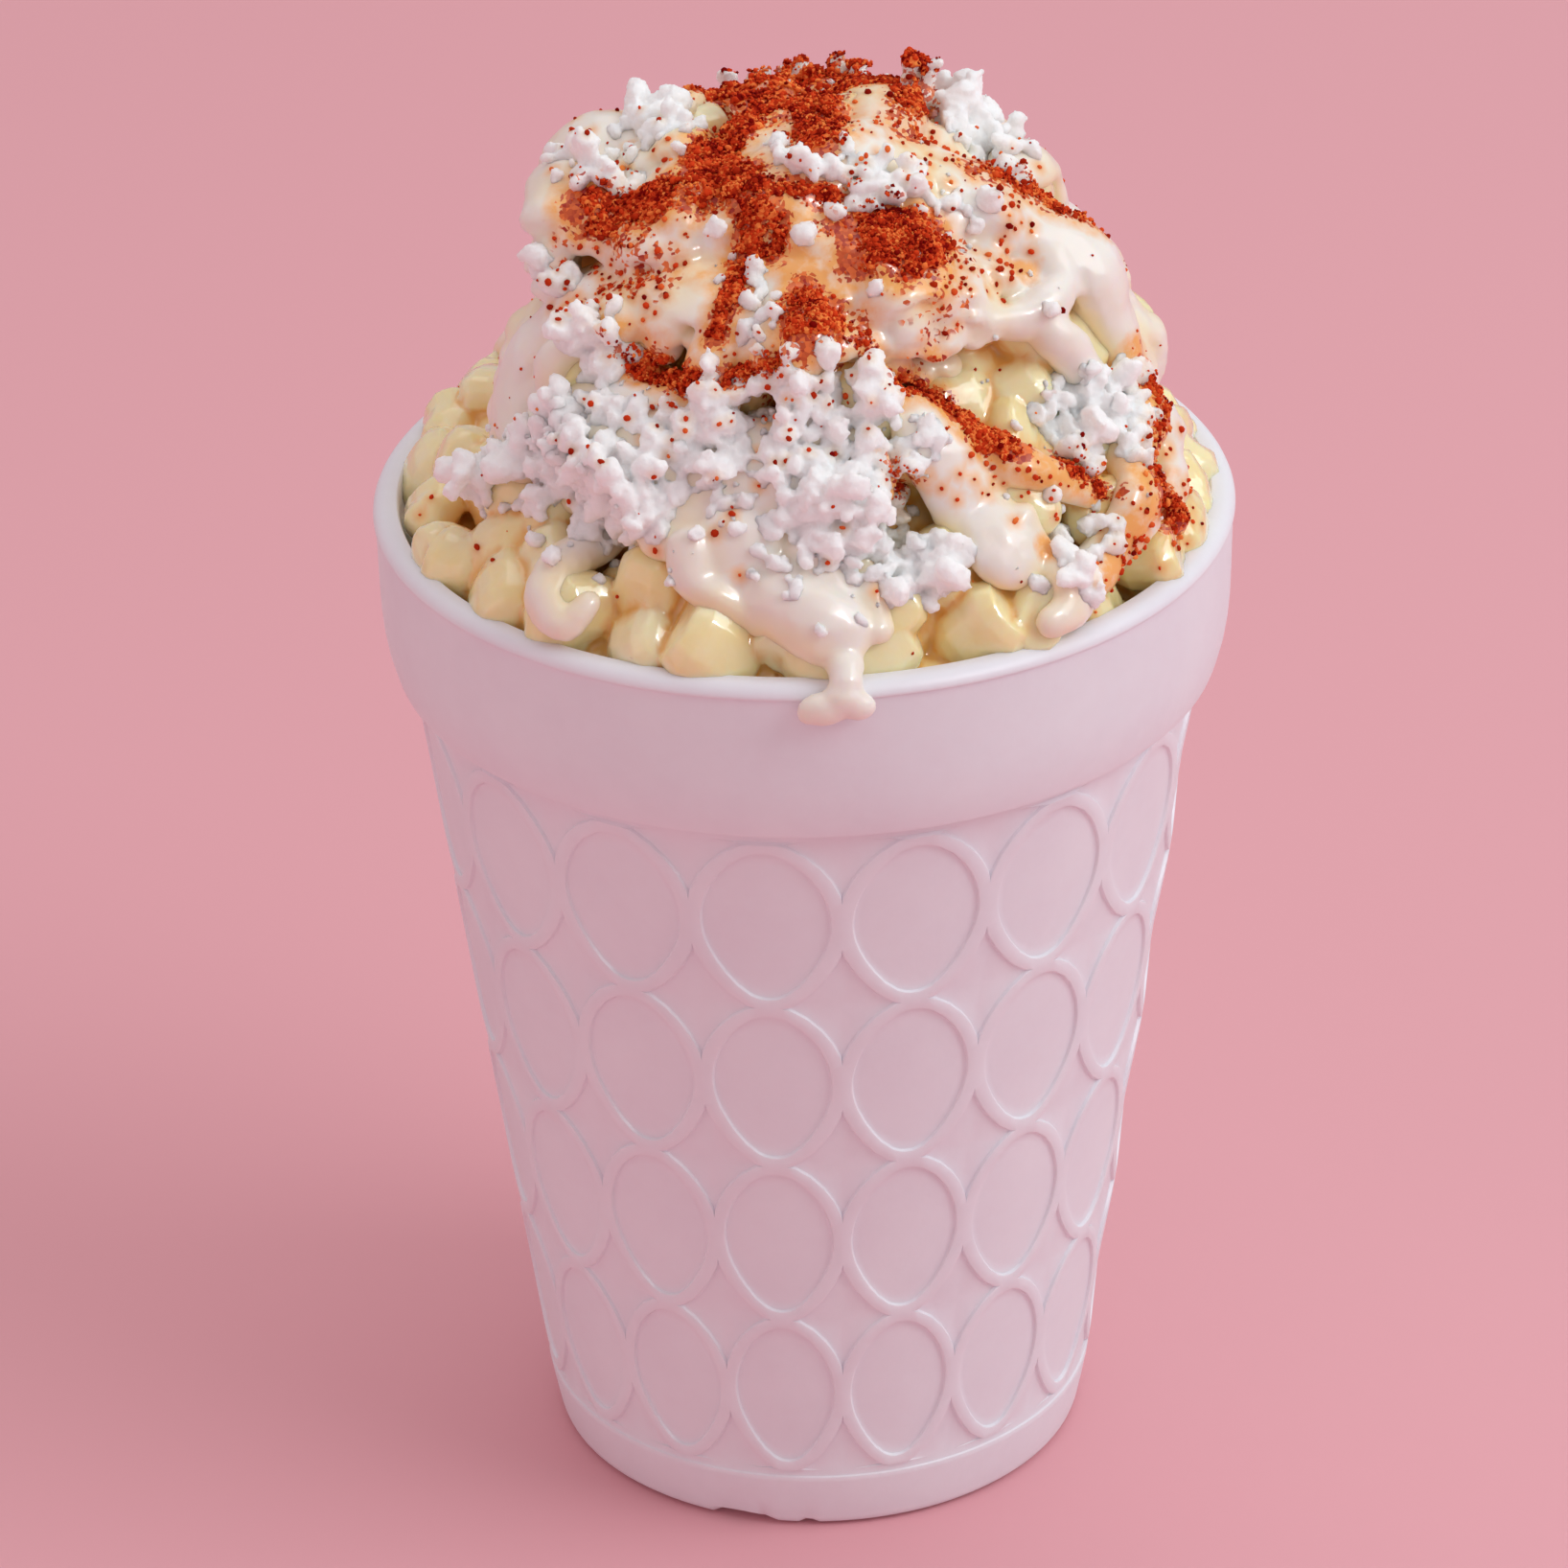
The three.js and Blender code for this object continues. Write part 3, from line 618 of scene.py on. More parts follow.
def ring_wall():
    """The wall's moulded pattern: a lattice of slightly egg-shaped rings that share their bands."""
    low, high = RING_LATTICE
    pitch_across = 2 * math.pi * wall_outer((low + high) / 2) / RING_COLUMNS
    pitch_up = (high - low) / RING_ROWS
    band = (RING_BAND / pitch_across, RING_BAND / pitch_up)
    edge = (RING_EDGE / pitch_across * 2, RING_EDGE / pitch_up * 2)

    def loop_radius(offset, angle):
        """offset is in half-band widths from the ring's middle line, plus or minus edges."""
        along_band, along_edge = offset
        middle = 0.5 - RING_INSET - RING_CORNER * math.sin(2 * angle) ** 2
        return middle + along_band * half_band(angle, *band) + along_edge * half_band(angle, *edge)

    # Loops from the middle of the cell out: (half bands, edges) from the ring's middle line, and height.
    profile = [((-1, -1), 0.0), ((-1, -0.35), 0.12), ((-1, 0.35), 0.88), ((-1, 1), 1.0)]
    profile += [((1, -1), 1.0), ((1, -0.35), 0.88), ((1, 0.35), 0.12), ((1, 1), 0.0)]
    inner_radii = [0.1, 0.2, 0.3, 0.375]

    def crossing(offset, upward):
        """The angle at which a loop leaves the cell, by its side or by its top."""
        low_angle, high_angle = (0.0, math.pi / 4) if not upward else (math.pi / 2, math.pi / 4)
        for _ in range(40):
            middle = (low_angle + high_angle) / 2
            reach = loop_radius(offset, middle) * (math.sin(middle) if upward else math.cos(middle))
            low_angle, high_angle = (middle, high_angle) if reach > 0.5 else (low_angle, middle)
        return low_angle

    eighth = []
    for upward in (False, True):
        marks = [crossing((1, along), upward) for along in (-1, 0.35, 1)]
        start = math.pi / 2 if upward else 0.0
        spread = [start + (marks[0] - start) * share for share in (0, 0.28, 0.55, 0.8)]
        eighth.append(spread + marks + [(marks[2] + math.pi / 4) / 2])
    quarter = eighth[0] + [math.pi / 4] + eighth[1][::-1][:-1]
    angles = []
    for turn in range(4):
        part = [math.pi / 2 - angle for angle in quarter] if turn % 2 else quarter
        angles += [turn * math.pi / 2 + angle for angle in part]
    angles = sorted(angle % (2 * math.pi) for angle in angles)
    angles = [a for i, a in enumerate(angles) if i == 0 or a - angles[i - 1] > 1e-6]
    sides = len(angles)

    cell = primitive("circle", "foam_cup", vertices=sides, radius=1.0, fill_type="TRIFAN")
    loops = 1 + len(inner_radii[1:]) + len(profile) + 1
    edit(cell, lambda co: co.length > 0.5)
    for loop in range(1, loops):
        bpy.ops.mesh.extrude_edges_move()
        resize((loop + 1) / loop, (loop + 1) / loop, 1)
    done()
    places = places_of(cell)
    loop_of = np.rint(np.hypot(places[:, 0], places[:, 1])).astype(int)
    side_of = np.rint(np.arctan2(places[:, 0], places[:, 1]) / (2 * math.pi) * sides).astype(int) % sides
    shaped = np.zeros_like(places)
    for index, (loop, side) in enumerate(zip(loop_of, side_of)):
        if loop == 0:
            continue
        angle = angles[side]
        reach = 0.5 / max(abs(math.cos(angle)), abs(math.sin(angle)))
        if loop <= len(inner_radii):
            radius, height = inner_radii[loop - 1], 0.0
        elif loop <= len(inner_radii) + len(profile):
            offset, height = profile[loop - 1 - len(inner_radii)]
            radius = loop_radius(offset, angle)
        else:
            radius, height = reach, 0.0
        if radius >= reach - 1e-9:
            radius = reach
            marks = [loop_radius(offset, angle) for offset, _ in profile]
            height = float(np.interp(radius, marks, [level for _, level in profile]))
        shaped[index] = (radius * math.cos(angle), radius * math.sin(angle), height)
    # A ring is narrower below its middle and fuller above, and the cell's edges stay where they are.
    across, up = shaped[:, 0].copy(), shaped[:, 1]
    lean = np.where(up < 0, up, 0.4 * up) * 4 * (1 - 4 * up**2)
    shaped[:, 0] += RING_EGG * 4 * across * (0.25 - across**2) * lean
    move_to(cell, shaped)
    weld(cell, 1e-5)
    for count, offset in ((RING_COLUMNS, (1, 0, 0)), (RING_ROWS, (0, 1, 0))):
        spacing = {"use_constant_offset": True, "constant_offset_displace": offset}
        welding = {"use_merge_vertices": True, "merge_threshold": 1e-4}
        modify(cell, "ARRAY", count=count, use_relative_offset=False, **spacing, **welding)
    flat = places_of(cell)
    azimuth = np.radians(RING_FIRST_AZIMUTH + flat[:, 0] * 360 / RING_COLUMNS)
    z = low + (flat[:, 1] + 0.5) * pitch_up
    radius = wall_outer(z) + flat[:, 2] * RING_HEIGHT - 0.25 * RING_HEIGHT
    move_to(cell, np.stack([radius * np.sin(azimuth), -radius * np.cos(azimuth), z], axis=1))
    weld(cell)
    return cell, len(np.unique(np.round(azimuth[np.abs(flat[:, 1] + 0.5) < 1e-5], 5))) - 1


def bridge_gap(piece, height):
    """Joins the two open edges on one side of a height."""
    only(piece)
    mesh = piece.data
    used = np.bincount(read(mesh.loops, "edge_index", kind=np.int32), minlength=len(mesh.edges))
    bpy.context.tool_settings.mesh_select_mode = (False, True, False)
    bpy.ops.object.mode_set(mode="EDIT")
    bpy.ops.mesh.select_all(action="DESELECT")
    bpy.ops.object.mode_set(mode="OBJECT")
    for edge in mesh.edges:
        middle = (mesh.vertices[edge.vertices[0]].co + mesh.vertices[edge.vertices[1]].co) / 2
        edge.select = bool(used[edge.index] == 1 and abs(middle.z - height) < 5 * MM)
    bpy.ops.object.mode_set(mode="EDIT")
    bpy.ops.mesh.bridge_edge_loops()
    done()


def foam_cup():
    """The moulded wall, joined to a spun shell that has its wall cut out."""
    wall, steps = ring_wall()
    points, wall_starts = cup_section()
    mesh = bpy.data.meshes.new("cup_shell")
    mesh.from_pydata(points, [(i, i + 1) for i in range(len(points) - 1)], [])
    shell = bring_in("cup_shell", mesh)
    edit(shell)
    bpy.ops.mesh.spin(steps=steps, angle=2 * math.pi, center=(0, 0, 0), axis=(0, 0, 1))
    bpy.ops.mesh.select_all(action="SELECT")
    bpy.ops.mesh.remove_doubles(threshold=0.01 * MM)
    bpy.ops.mesh.normals_make_consistent(inside=False)
    done()
    low, high = points[wall_starts][2], points[wall_starts + 1][2]
    slack = 0.1 * MM

    def on_the_wall(co):
        return math.hypot(co.x, co.y) > wall_inner(co.z) + 1 * MM and low - slack < co.z < high + slack

    edit(shell, on_the_wall)
    bpy.ops.mesh.delete(type="ONLY_FACE")
    bpy.ops.mesh.select_all(action="SELECT")
    bpy.ops.mesh.delete_loose(use_verts=False, use_edges=True, use_faces=False)
    done()
    only(wall)
    shell.select_set(True)
    bpy.ops.object.join()
    bridge_gap(wall, low)
    bridge_gap(wall, high)
    edit(wall)
    bpy.ops.mesh.normals_make_consistent(inside=False)
    done()
    nick_the_foot(wall)
    return smooth(wall, 32)


def nick_the_foot(cup):
    """Small chips broken out of the base's edge, at the front left."""
    places = places_of(cup)
    azimuth = np.degrees(np.arctan2(places[:, 0], -places[:, 1]))
    edge = (places[:, 2] < 1.5 * MM) & (np.hypot(places[:, 0], places[:, 1]) > BASE_RADIUS - 2 * MM)
    for centre, reach, depth in ((-20, 4.5, 0.9), (-14, 2.2, 0.5), (-4, 1.6, 0.35)):
        bite = np.clip(1 - ((azimuth - centre) / reach) ** 2, 0, 1) ** 0.5 * edge
        places[:, 2] += bite * depth * MM * (places[:, 2] < 0.8 * MM)
        places[:, :2] *= (1 - bite * depth * 0.012)[:, None]
    move_to(cup, places)


# --------------------------------------------------------------------------------------------------
# Corn
# --------------------------------------------------------------------------------------------------


def kernel_shape(width, thickness, length, squareness, narrowing, dimple, cut, lean):
    """A kernel, in millimetres: its crown up, narrowing to its cut end. The lean tips its crown."""
    kernel = primitive("uv_sphere", "kernel", segments=14, ring_count=9, radius=1.0)
    modify(kernel, "CAST", cast_type="CUBOID", factor=squareness)
    tapering = (0.2, (narrowing**0.4, narrowing**0.25, 1)), (-0.2, (narrowing**0.6, narrowing**0.4, 1))
    for top, size in (*tapering, (-cut, (1.15, 1.15, 0.84))):
        edit(kernel, lambda co: co.z < top)
        resize(*size)
        done()
    for bottom, shift in ((0.93, (0, 0, -dimple)), (0, (0, lean, 0))):
        edit(kernel, lambda co: co.z > bottom)
        bpy.ops.transform.translate(value=shift)
        done()
    modify(kernel, "SMOOTH", factor=0.5, iterations=1)
    roughen(kernel, "uneven_skin", 1.2, 0.16)
    places = places_of(kernel)
    places -= (places.max(0) + places.min(0)) / 2
    move_to(kernel, places / (places.max(0) - places.min(0)) * np.array([width, thickness, length]) * MM)
    return shape_of(kernel)


def spread_over(count, lowest):
    """Unit vectors spread evenly but irregularly over the heap, down to an elevation."""
    turn = np.arange(count) + 0.5
    height = 1 - turn / count * (1 - math.sin(math.radians(lowest)))
    angle = turn * math.pi * (3 - math.sqrt(5))
    flat = np.sqrt(1 - height**2)
    ways = np.stack([flat * np.sin(angle), -flat * np.cos(angle), height], axis=1)
    apart = math.sqrt(2 * math.pi * (1 - math.sin(math.radians(lowest))) / count)
    ways += rng.normal(size=ways.shape) * 0.45 * apart
    ways /= np.linalg.norm(ways, axis=1)[:, None]
    for _ in range(6):
        gap = ways[:, None] - ways[None]
        distance = np.linalg.norm(gap, axis=2) + 1e-9
        push = np.clip(0.95 * apart - distance, 0, None) * (distance > 1e-6)
        ways += 0.25 * (gap / distance[..., None] * push[..., None]).sum(1)
        ways /= np.linalg.norm(ways, axis=1)[:, None]
        ways[:, 2] = np.maximum(ways[:, 2], math.sin(math.radians(lowest)))
    return ways


def kernel_places():
    """Centres and outward directions of the kernels: an outer layer, one under it, and the wall's rings."""
    centres, outward = [], []
    layers = (KERNELS, 15, KERNEL_DEPTH, 1.2), (UNDER_KERNELS, -9, UNDER_KERNEL_DEPTH, 0.8)
    for count, lowest, depth, roughness in layers:
        ways = spread_over(count, lowest)
        radii = outline_radius(*angles_towards(ways)) - depth
        radii = radii + rng.uniform(-roughness, roughness, count) * MM
        layer = np.array(MOUND_CENTRE) + ways * radii[:, None]
        across = np.hypot(layer[:, 0], layer[:, 1])
        above = np.clip((layer[:, 2] - CUP_HEIGHT + 2 * MM) / (5 * MM), 0, 1)
        room = wall_inner(np.minimum(layer[:, 2], CUP_HEIGHT)) - (3.7 - 3.2 * above) * MM
        layer[:, :2] *= np.minimum(1, room / np.maximum(across, 1e-6))[:, None]
        centres.append(layer)
        outward.append(ways)
    turn = np.radians((np.arange(RIM_KERNELS) + rng.uniform(-0.3, 0.3, RIM_KERNELS)) * 360 / RIM_KERNELS)
    reach = wall_inner(CUP_HEIGHT) - rng.uniform(2.7, 3.4, RIM_KERNELS) * MM
    height = CUP_HEIGHT + rng.uniform(-1.6, 1.2, RIM_KERNELS) * MM
    # A second ring lies lower, between the kernels of the first.
    for lower, shift in ((0, 0), (5.5 * MM, math.pi / RIM_KERNELS)):
        east, north = np.sin(turn + shift), -np.cos(turn + shift)
        inside = reach - 0.15 * lower
        centres.append(np.stack([inside * east, inside * north, height - lower], axis=1))
        outward.append(np.stack([east * 0.8, north * 0.8, np.full(RIM_KERNELS, 0.6)], axis=1))
    return np.concatenate(centres), np.concatenate(outward)


def creases(piece):
    """Marks hollows between lumps, from 0 to 1: where smoothing would fill the surface in, and where the
    kernels take painted shade.
    """
    places = places_of(piece)
    ends = read(piece.data.edges, "vertices", 2, np.int32)
    count = np.bincount(ends.ravel(), minlength=len(places))[:, None]
    smoothed = places
    for _ in range(14):
        total = np.zeros_like(smoothed)
        for a, b in ((0, 1), (1, 0)):
            for axis in range(3):
                total[:, axis] += np.bincount(ends[:, a], smoothed[ends[:, b], axis], len(places))
        smoothed = total / count
    hollow = ((smoothed - places) * normals_of(piece)).sum(1) / (0.4 * MM)
    mark_points(piece.data, "crease_shade", np.clip(hollow, 0, 1))


def thin_out(piece, most):
    """Brings a piece down to a number of triangles where it has more."""
    count = len(piece.data.loops) - 2 * len(piece.data.polygons)
    if count > most:
        modify(piece, "DECIMATE", ratio=most / count)


def one_body(piece, parts, marks, voxel, most, creased=False):
    """Fuses a piece's parts. Each point keeps the marks of the part that it came from."""
    modify(piece, "REMESH", mode="VOXEL", voxel_size=voxel, use_smooth_shade=True)
    if creased:
        creases(piece)
    thin_out(piece, most)
    first_corner = parts.faces[0][:, 0]
    nearest = [first_corner[parts.tree.find_nearest(v.co)[2]] for v in piece.data.vertices]
    for mark, values in marks.items():
        mark_points(piece.data, mark, values[nearest])
    smooth(piece)


def corn(surface, core):
    """The kernels that show, fused with the mass under them."""
    widths, thicknesses, lengths = (8.8, 10.6), (6.6, 7.8), (8.8, 11)
    squareness, narrowing, dimple = (0.15, 0.42), (0.5, 0.85), (0, 0.22)
    cut, lean = (0.45, 0.72), (-0.2, 0.2)
    spans = (widths, thicknesses, lengths, squareness, narrowing, dimple, cut, lean)
    shapes = [kernel_shape(*(rng.uniform(*span) for span in spans)) for _ in range(KERNEL_SHAPES)]
    copies, tones = [], []
    for centre, way in zip(*kernel_places()):
        out = Vector(way)
        # Most kernels lie on a flat side, and the rest stand with their crown out.
        spin = rng.uniform(0, 2 * math.pi)
        flat = rng.random() < 0.6
        aim = (out + (0.3 if flat else 0.4) * Vector(rng.normal(size=3))).normalized()
        turn = turn_to(aim, spin)
        if flat:
            turn = turn @ Matrix.Rotation(math.radians(90), 3, "X")
        size = rng.uniform(0.88, 1.08)
        stretch = Matrix.Diagonal((size * rng.uniform(0.95, 1.05), size * rng.uniform(0.95, 1.1), size))
        copies.append((int(rng.integers(len(shapes))), turn @ stretch, centre))
        tones.append(rng.random() ** 1.3)
    kernels = joined_copies("corn_kernels", shapes, copies, tone=tones)
    parts = Surface()
    parts.add(kernels)
    tone = values_of(kernels, "tone")
    inside = bring_in("inside", core.data.copy())
    edit(inside)
    low = (0, 0, KERNEL_BODY_FOOT)
    bpy.ops.mesh.bisect(plane_co=low, plane_no=(0, 0, -1), clear_outer=True, use_fill=True)
    done()
    only(kernels)
    inside.select_set(True)
    bpy.ops.object.join()
    one_body(kernels, parts, {"tone": tone}, KERNEL_VOXEL, KERNEL_TRIANGLES, creased=True)
    surface.add(kernels)
    return kernels


def under_corn():
    """The mass under the kernels that show, from the cup's floor up to the heap's inside."""
    core = primitive("uv_sphere", "under_corn", segments=72, ring_count=40, radius=1.0)
    azimuth, elevation = angles_towards(places_of(core))
    heap = np.maximum(elevation, CORE_LOWEST)
    radius = outline_radius(azimuth, heap) - CORE_DEPTH
    shaped = np.array(MOUND_CENTRE) + direction(azimuth, heap) * radius[:, None]
    below = elevation < CORE_LOWEST
    depth = np.clip((CORE_LOWEST - elevation) / 60, 0, 1)
    z = shaped[:, 2] + depth * (FLOOR + 0.5 * MM - shaped[:, 2])
    closing = np.clip((90 + elevation) / 18, 0, 1)
    column = (wall_inner(z) - 1.2 * MM) * closing
    spread = np.hypot(shaped[:, 0], shaped[:, 1])
    share = np.clip(depth * 8, 0, 1)
    target = (spread * (1 - share) + column * share) / np.maximum(spread, 1e-9)
    shaped[below, :2] *= target[below, None]
    shaped[below, 2] = z[below]
    move_to(core, shaped)
    weld(core, outwards=True)
    return smooth(core)


# --------------------------------------------------------------------------------------------------
# Cream
# --------------------------------------------------------------------------------------------------

# Each strand is a line of (azimuth, elevation, width, thickness), in degrees and millimetres.
CREAM_STRANDS = [
    # The upper scoop's right side: its broad flank, and the hook that curls round inside it.
    [(66, 71, 8, 4), (72, 63, 9, 5), (75, 55, 9.5, 5.5), (76, 47, 9, 5.5), (77, 40, 7.5, 5),
     (75, 34, 5.5, 4)],
    [(48, 65.5, 4, 4), (58, 65, 5, 5), (65, 60.5, 5.5, 6), (68, 55.5, 5.5, 6), (65, 51.5, 5, 6),
     (57, 50.5, 4.5, 5.5), (49, 52, 4, 5), (43, 53, 3.5, 4)],
    [(52, 63, 3.2, 3.5), (51, 60, 3.4, 4), (53, 57, 3.6, 4.5), (56, 55, 3, 4)],
    [(46, 63, 3.2, 3.5), (45, 60, 3.8, 4.5), (41, 56, 4, 4.5)],
    [(56, 50, 3.5, 4), (57, 47, 4.2, 5), (61, 43.5, 4.8, 5.5), (66, 39, 4.8, 5), (72, 35, 4, 4)],
    # The ribbon down to the rim at the right, a lobe behind it, and the smear along the rim below it.
    [(75, 35, 5.5, 4), (72, 30, 6.5, 4.5), (65, 27, 6.5, 4.5), (58, 23.5, 6.5, 4.2), (51, 19, 6, 4),
     (45, 15, 5, 3.4)],
    [(82, 33, 6, 4), (80, 28, 7, 5), (77, 23, 7, 5), (72, 18.5, 6, 4.5), (65, 16, 5, 4)],
    [(90, 34, 6, 4), (91, 27, 7, 4.5), (88, 20, 6, 4)],
    [(57, 19, 5, 4), (51, 17, 5.5, 4.6), (45, 15.5, 5.5, 4.6), (39, 14, 5, 4), (33, 13, 4, 3.2)],
    # The thin belly across the front, with its scalloped edge.
    [(-68, 57, 6, 2), (-56, 58, 7, 2), (-40, 60, 8, 2), (-18, 61, 8, 2), (4, 61, 8, 2),
     (24, 60, 7, 2), (38, 58, 6, 2)],
    [(-70, 63, 8, 2.6), (-45, 67, 9, 2.6), (-15, 68, 10, 2.6), (15, 66, 9, 2.6)],
    [(-62, 60, 5, 2.5), (-61, 53, 5.5, 3.5)],
    [(-49, 60, 5, 2.5), (-46, 54, 5.5, 3.2)],
    [(-37, 61, 5, 2.5), (-34, 56.5, 5, 3)],
    [(-10, 62, 5, 2.5), (-5, 57, 5, 3.2)],
    [(6, 62, 5, 2.5), (11, 56, 5.5, 3.2)],
    [(22, 61, 5, 2.5), (25, 55.5, 5.5, 3.2)],
    [(33, 60, 5, 2.5), (38, 55, 5, 3.2)],
    # Down the left side, in two ridges.
    [(-60, 59, 6, 4), (-66, 52, 7, 4.5), (-71, 46, 7.5, 5), (-72, 40, 7.5, 5), (-68, 34, 6.5, 4.5),
     (-61, 30, 6, 4)],
    [(-52, 56, 5, 3.5), (-56, 50, 5.5, 4.5), (-59, 45, 5.5, 4.5), (-58, 38, 5.5, 4.5),
     (-54, 33, 5, 3.5)],
    [(-44, 50, 6, 3.5), (-36, 48, 7, 4), (-26, 47, 7, 4)],
    # The tongue at the front right, with a second ridge along it.
    [(21, 45, 6, 4), (24, 40, 7.5, 5), (27, 34, 9, 5.5), (30, 28, 9.5, 6), (31, 24, 9, 5.5),
     (31, 21, 7, 4.5)],
    [(30, 43, 4, 3.5), (34, 38, 4.5, 4.2), (39, 33, 5, 4.2), (45, 29, 4.5, 3.8), (49, 26, 4, 3)],
    [(35, 27, 3.5, 3.5), (36, 22, 4, 3.8), (37, 17, 4, 3.5), (36, 13, 3.5, 3)],
    # The blob at the front, with the drop that runs over the rim.
    [(-14, 30, 8, 4), (-12, 25.5, 11, 5), (-8, 21.5, 11, 5.5), (-2, 18.5, 9, 5.2), (4, 15.5, 7.5, 4.8)],
    [(-19, 27, 5, 4.5), (-18, 23, 5, 4.8), (-14, 20, 4.5, 4.4), (-8, 17.5, 4, 4)],
    [(0, 27, 6, 4), (2, 22, 6, 4.8), (5, 16, 5.5, 4.5)],
    [(9, 22, 4, 3.5), (9, 16, 4, 3.5)],
    # A thin thread beside it, curled at its end.
    [(-38, 30, 4.5, 3.5), (-40, 25, 5.5, 4), (-41, 20, 6, 4), (-39, 15, 5, 3.6),
     (-35, 13.5, 3.5, 3.2), (-33, 17, 3, 3)],
    # Poured straight down the middle.
    [(-14, 74, 8, 4), (-18, 66, 7, 4.5), (-17, 60, 6.5, 5), (-20, 55, 6, 5), (-21, 51, 6, 4.5),
     (-18, 47, 5, 4)],
    [(-11, 60, 4.5, 4), (-8, 56, 4.5, 4.5), (-9, 51, 4.5, 4)],
    [(2, 56, 5, 4), (-1, 50, 5, 4), (2, 44, 5, 4)],
    # Under the cheese at the front.
    [(-56, 40, 9, 3), (-36, 40, 12, 3), (-14, 38, 12, 3), (8, 38, 12, 3)],
    # Over the top and down the back.
    [(-14, 74, 8, 4), (30, 79, 9, 4.5), (100, 79, 9, 4.5), (160, 74, 8, 4.5), (200, 62, 8, 4)],
    [(-78, 58, 7, 4), (-110, 62, 10, 4.5), (-140, 60, 11, 5), (-172, 58, 9, 4.5), (-200, 62, 8, 4)],
    [(-135, 62, 8, 4), (-128, 48, 9, 4.5), (-138, 35, 9, 4.5), (-130, 22, 7, 4), (-134, 13, 5, 3)],
    [(96, 62, 8, 4), (116, 50, 9, 4.5), (112, 37, 8, 4.5), (124, 24, 9, 4), (120, 14, 6, 3)],
    [(165, 66, 8, 4), (172, 45, 9, 4.5), (160, 33, 9, 4.5), (172, 20, 8, 4)],
]
# Where the cream lies as a thinner coat over the kernels: trails of (azimuth, elevation, width).
CREAM_SHEETS = [
    [(-84, 57, 12), (-60, 60, 14), (-30, 62, 15), (0, 62, 15), (30, 60, 13), (48, 57, 10)],
    [(-70, 70, 12), (-20, 73, 14), (40, 73, 14), (80, 68, 12)],
    [(-60, 82, 14), (60, 84, 14)],
    [(56, 67, 12), (74, 59, 13), (83, 47, 12), (84, 36, 11), (76, 26, 10)],
    [(-70, 54, 14), (-76, 42, 14), (-74, 30, 10)],
    [(-50, 36, 12), (-20, 34, 14), (10, 34, 14)],
    [(-90, 64, 14), (-140, 60, 16), (180, 60, 16), (120, 62, 14)],
]
# The drop over the rim at the front: place and half sizes of each swelling, in millimetres.
CREAM_DROP = [
    (2.2, -40.5, 118.4, 3.4, 3.4, 3.0),
    (2.8, -43.0, 118.3, 2.6, 2.8, 2.3),
    (3.2, -45.4, 117.6, 2.0, 2.4, 1.9),
    (3.3, -47.2, 116.4, 1.8, 1.6, 2.0),
    (3.0, -47.9, 115.0, 2.4, 1.6, 1.9),
    (0.8, -48.0, 113.9, 2.9, 1.7, 1.9),
    (4.4, -47.9, 114.2, 2.1, 1.5, 1.7),
    (-0.4, -47.9, 113.6, 1.8, 1.5, 1.5),
]


def trail_points(trail, count, draw, even=False):
    """Random unit vectors along a trail of (azimuth, elevation, width), denser in its middle unless even."""
    knots = np.array(trail, float)
    ways = direction(knots[:, 0], knots[:, 1])
    steps = np.diff(ways, axis=0)
    lengths = np.concatenate([[0], np.cumsum(np.linalg.norm(steps, axis=1))])
    at = draw.uniform(0, lengths[-1], count)
    out = np.stack([np.interp(at, lengths, ways[:, axis]) for axis in range(3)], axis=1)
    ahead = steps[np.clip(np.searchsorted(lengths, at) - 1, 0, len(steps) - 1)]
    side = np.cross(ahead, out)
    side /= np.linalg.norm(side, axis=1)[:, None]
    width = np.interp(at, lengths, knots[:, 2]) / HEAP_RADIUS
    spread = draw.uniform(-0.5, 0.5, count) if even else 0.3 * draw.normal(size=count)
    out = out + side * (spread * width)[:, None]
    if not even:
        out = out + draw.normal(size=(count, 3)) * (0.12 * width)[:, None]
    return out / np.linalg.norm(out, axis=1)[:, None]


def area_of(trail):
    """About how many square millimetres a trail of (azimuth, elevation, width) covers."""
    knots = np.array(trail, float)
    steps = np.diff(direction(knots[:, 0], knots[:, 1]), axis=0)
    return HEAP_RADIUS * np.linalg.norm(steps, axis=1).sum() * knots[:, 2].mean()


def along(line, step):
    """Points every step millimetres along a smooth line through the strand's knots, with their sizes."""
    knots = np.array(line, float)
    ways = direction(knots[:, 0], knots[:, 1])
    lengths = np.concatenate([[0], np.cumsum(np.linalg.norm(np.diff(ways, axis=0), axis=1))]) * HEAP_RADIUS
    count = max(3, int(lengths[-1] / step))
    at = np.linspace(0, lengths[-1], count)
    smoothed = np.stack([through(at, lengths, ways[:, axis]) for axis in range(3)], axis=1)
    smoothed /= np.linalg.norm(smoothed, axis=1)[:, None]
    sizes = np.stack([np.interp(at, lengths, knots[:, column]) for column in (2, 3)], axis=1)
    return smoothed, sizes


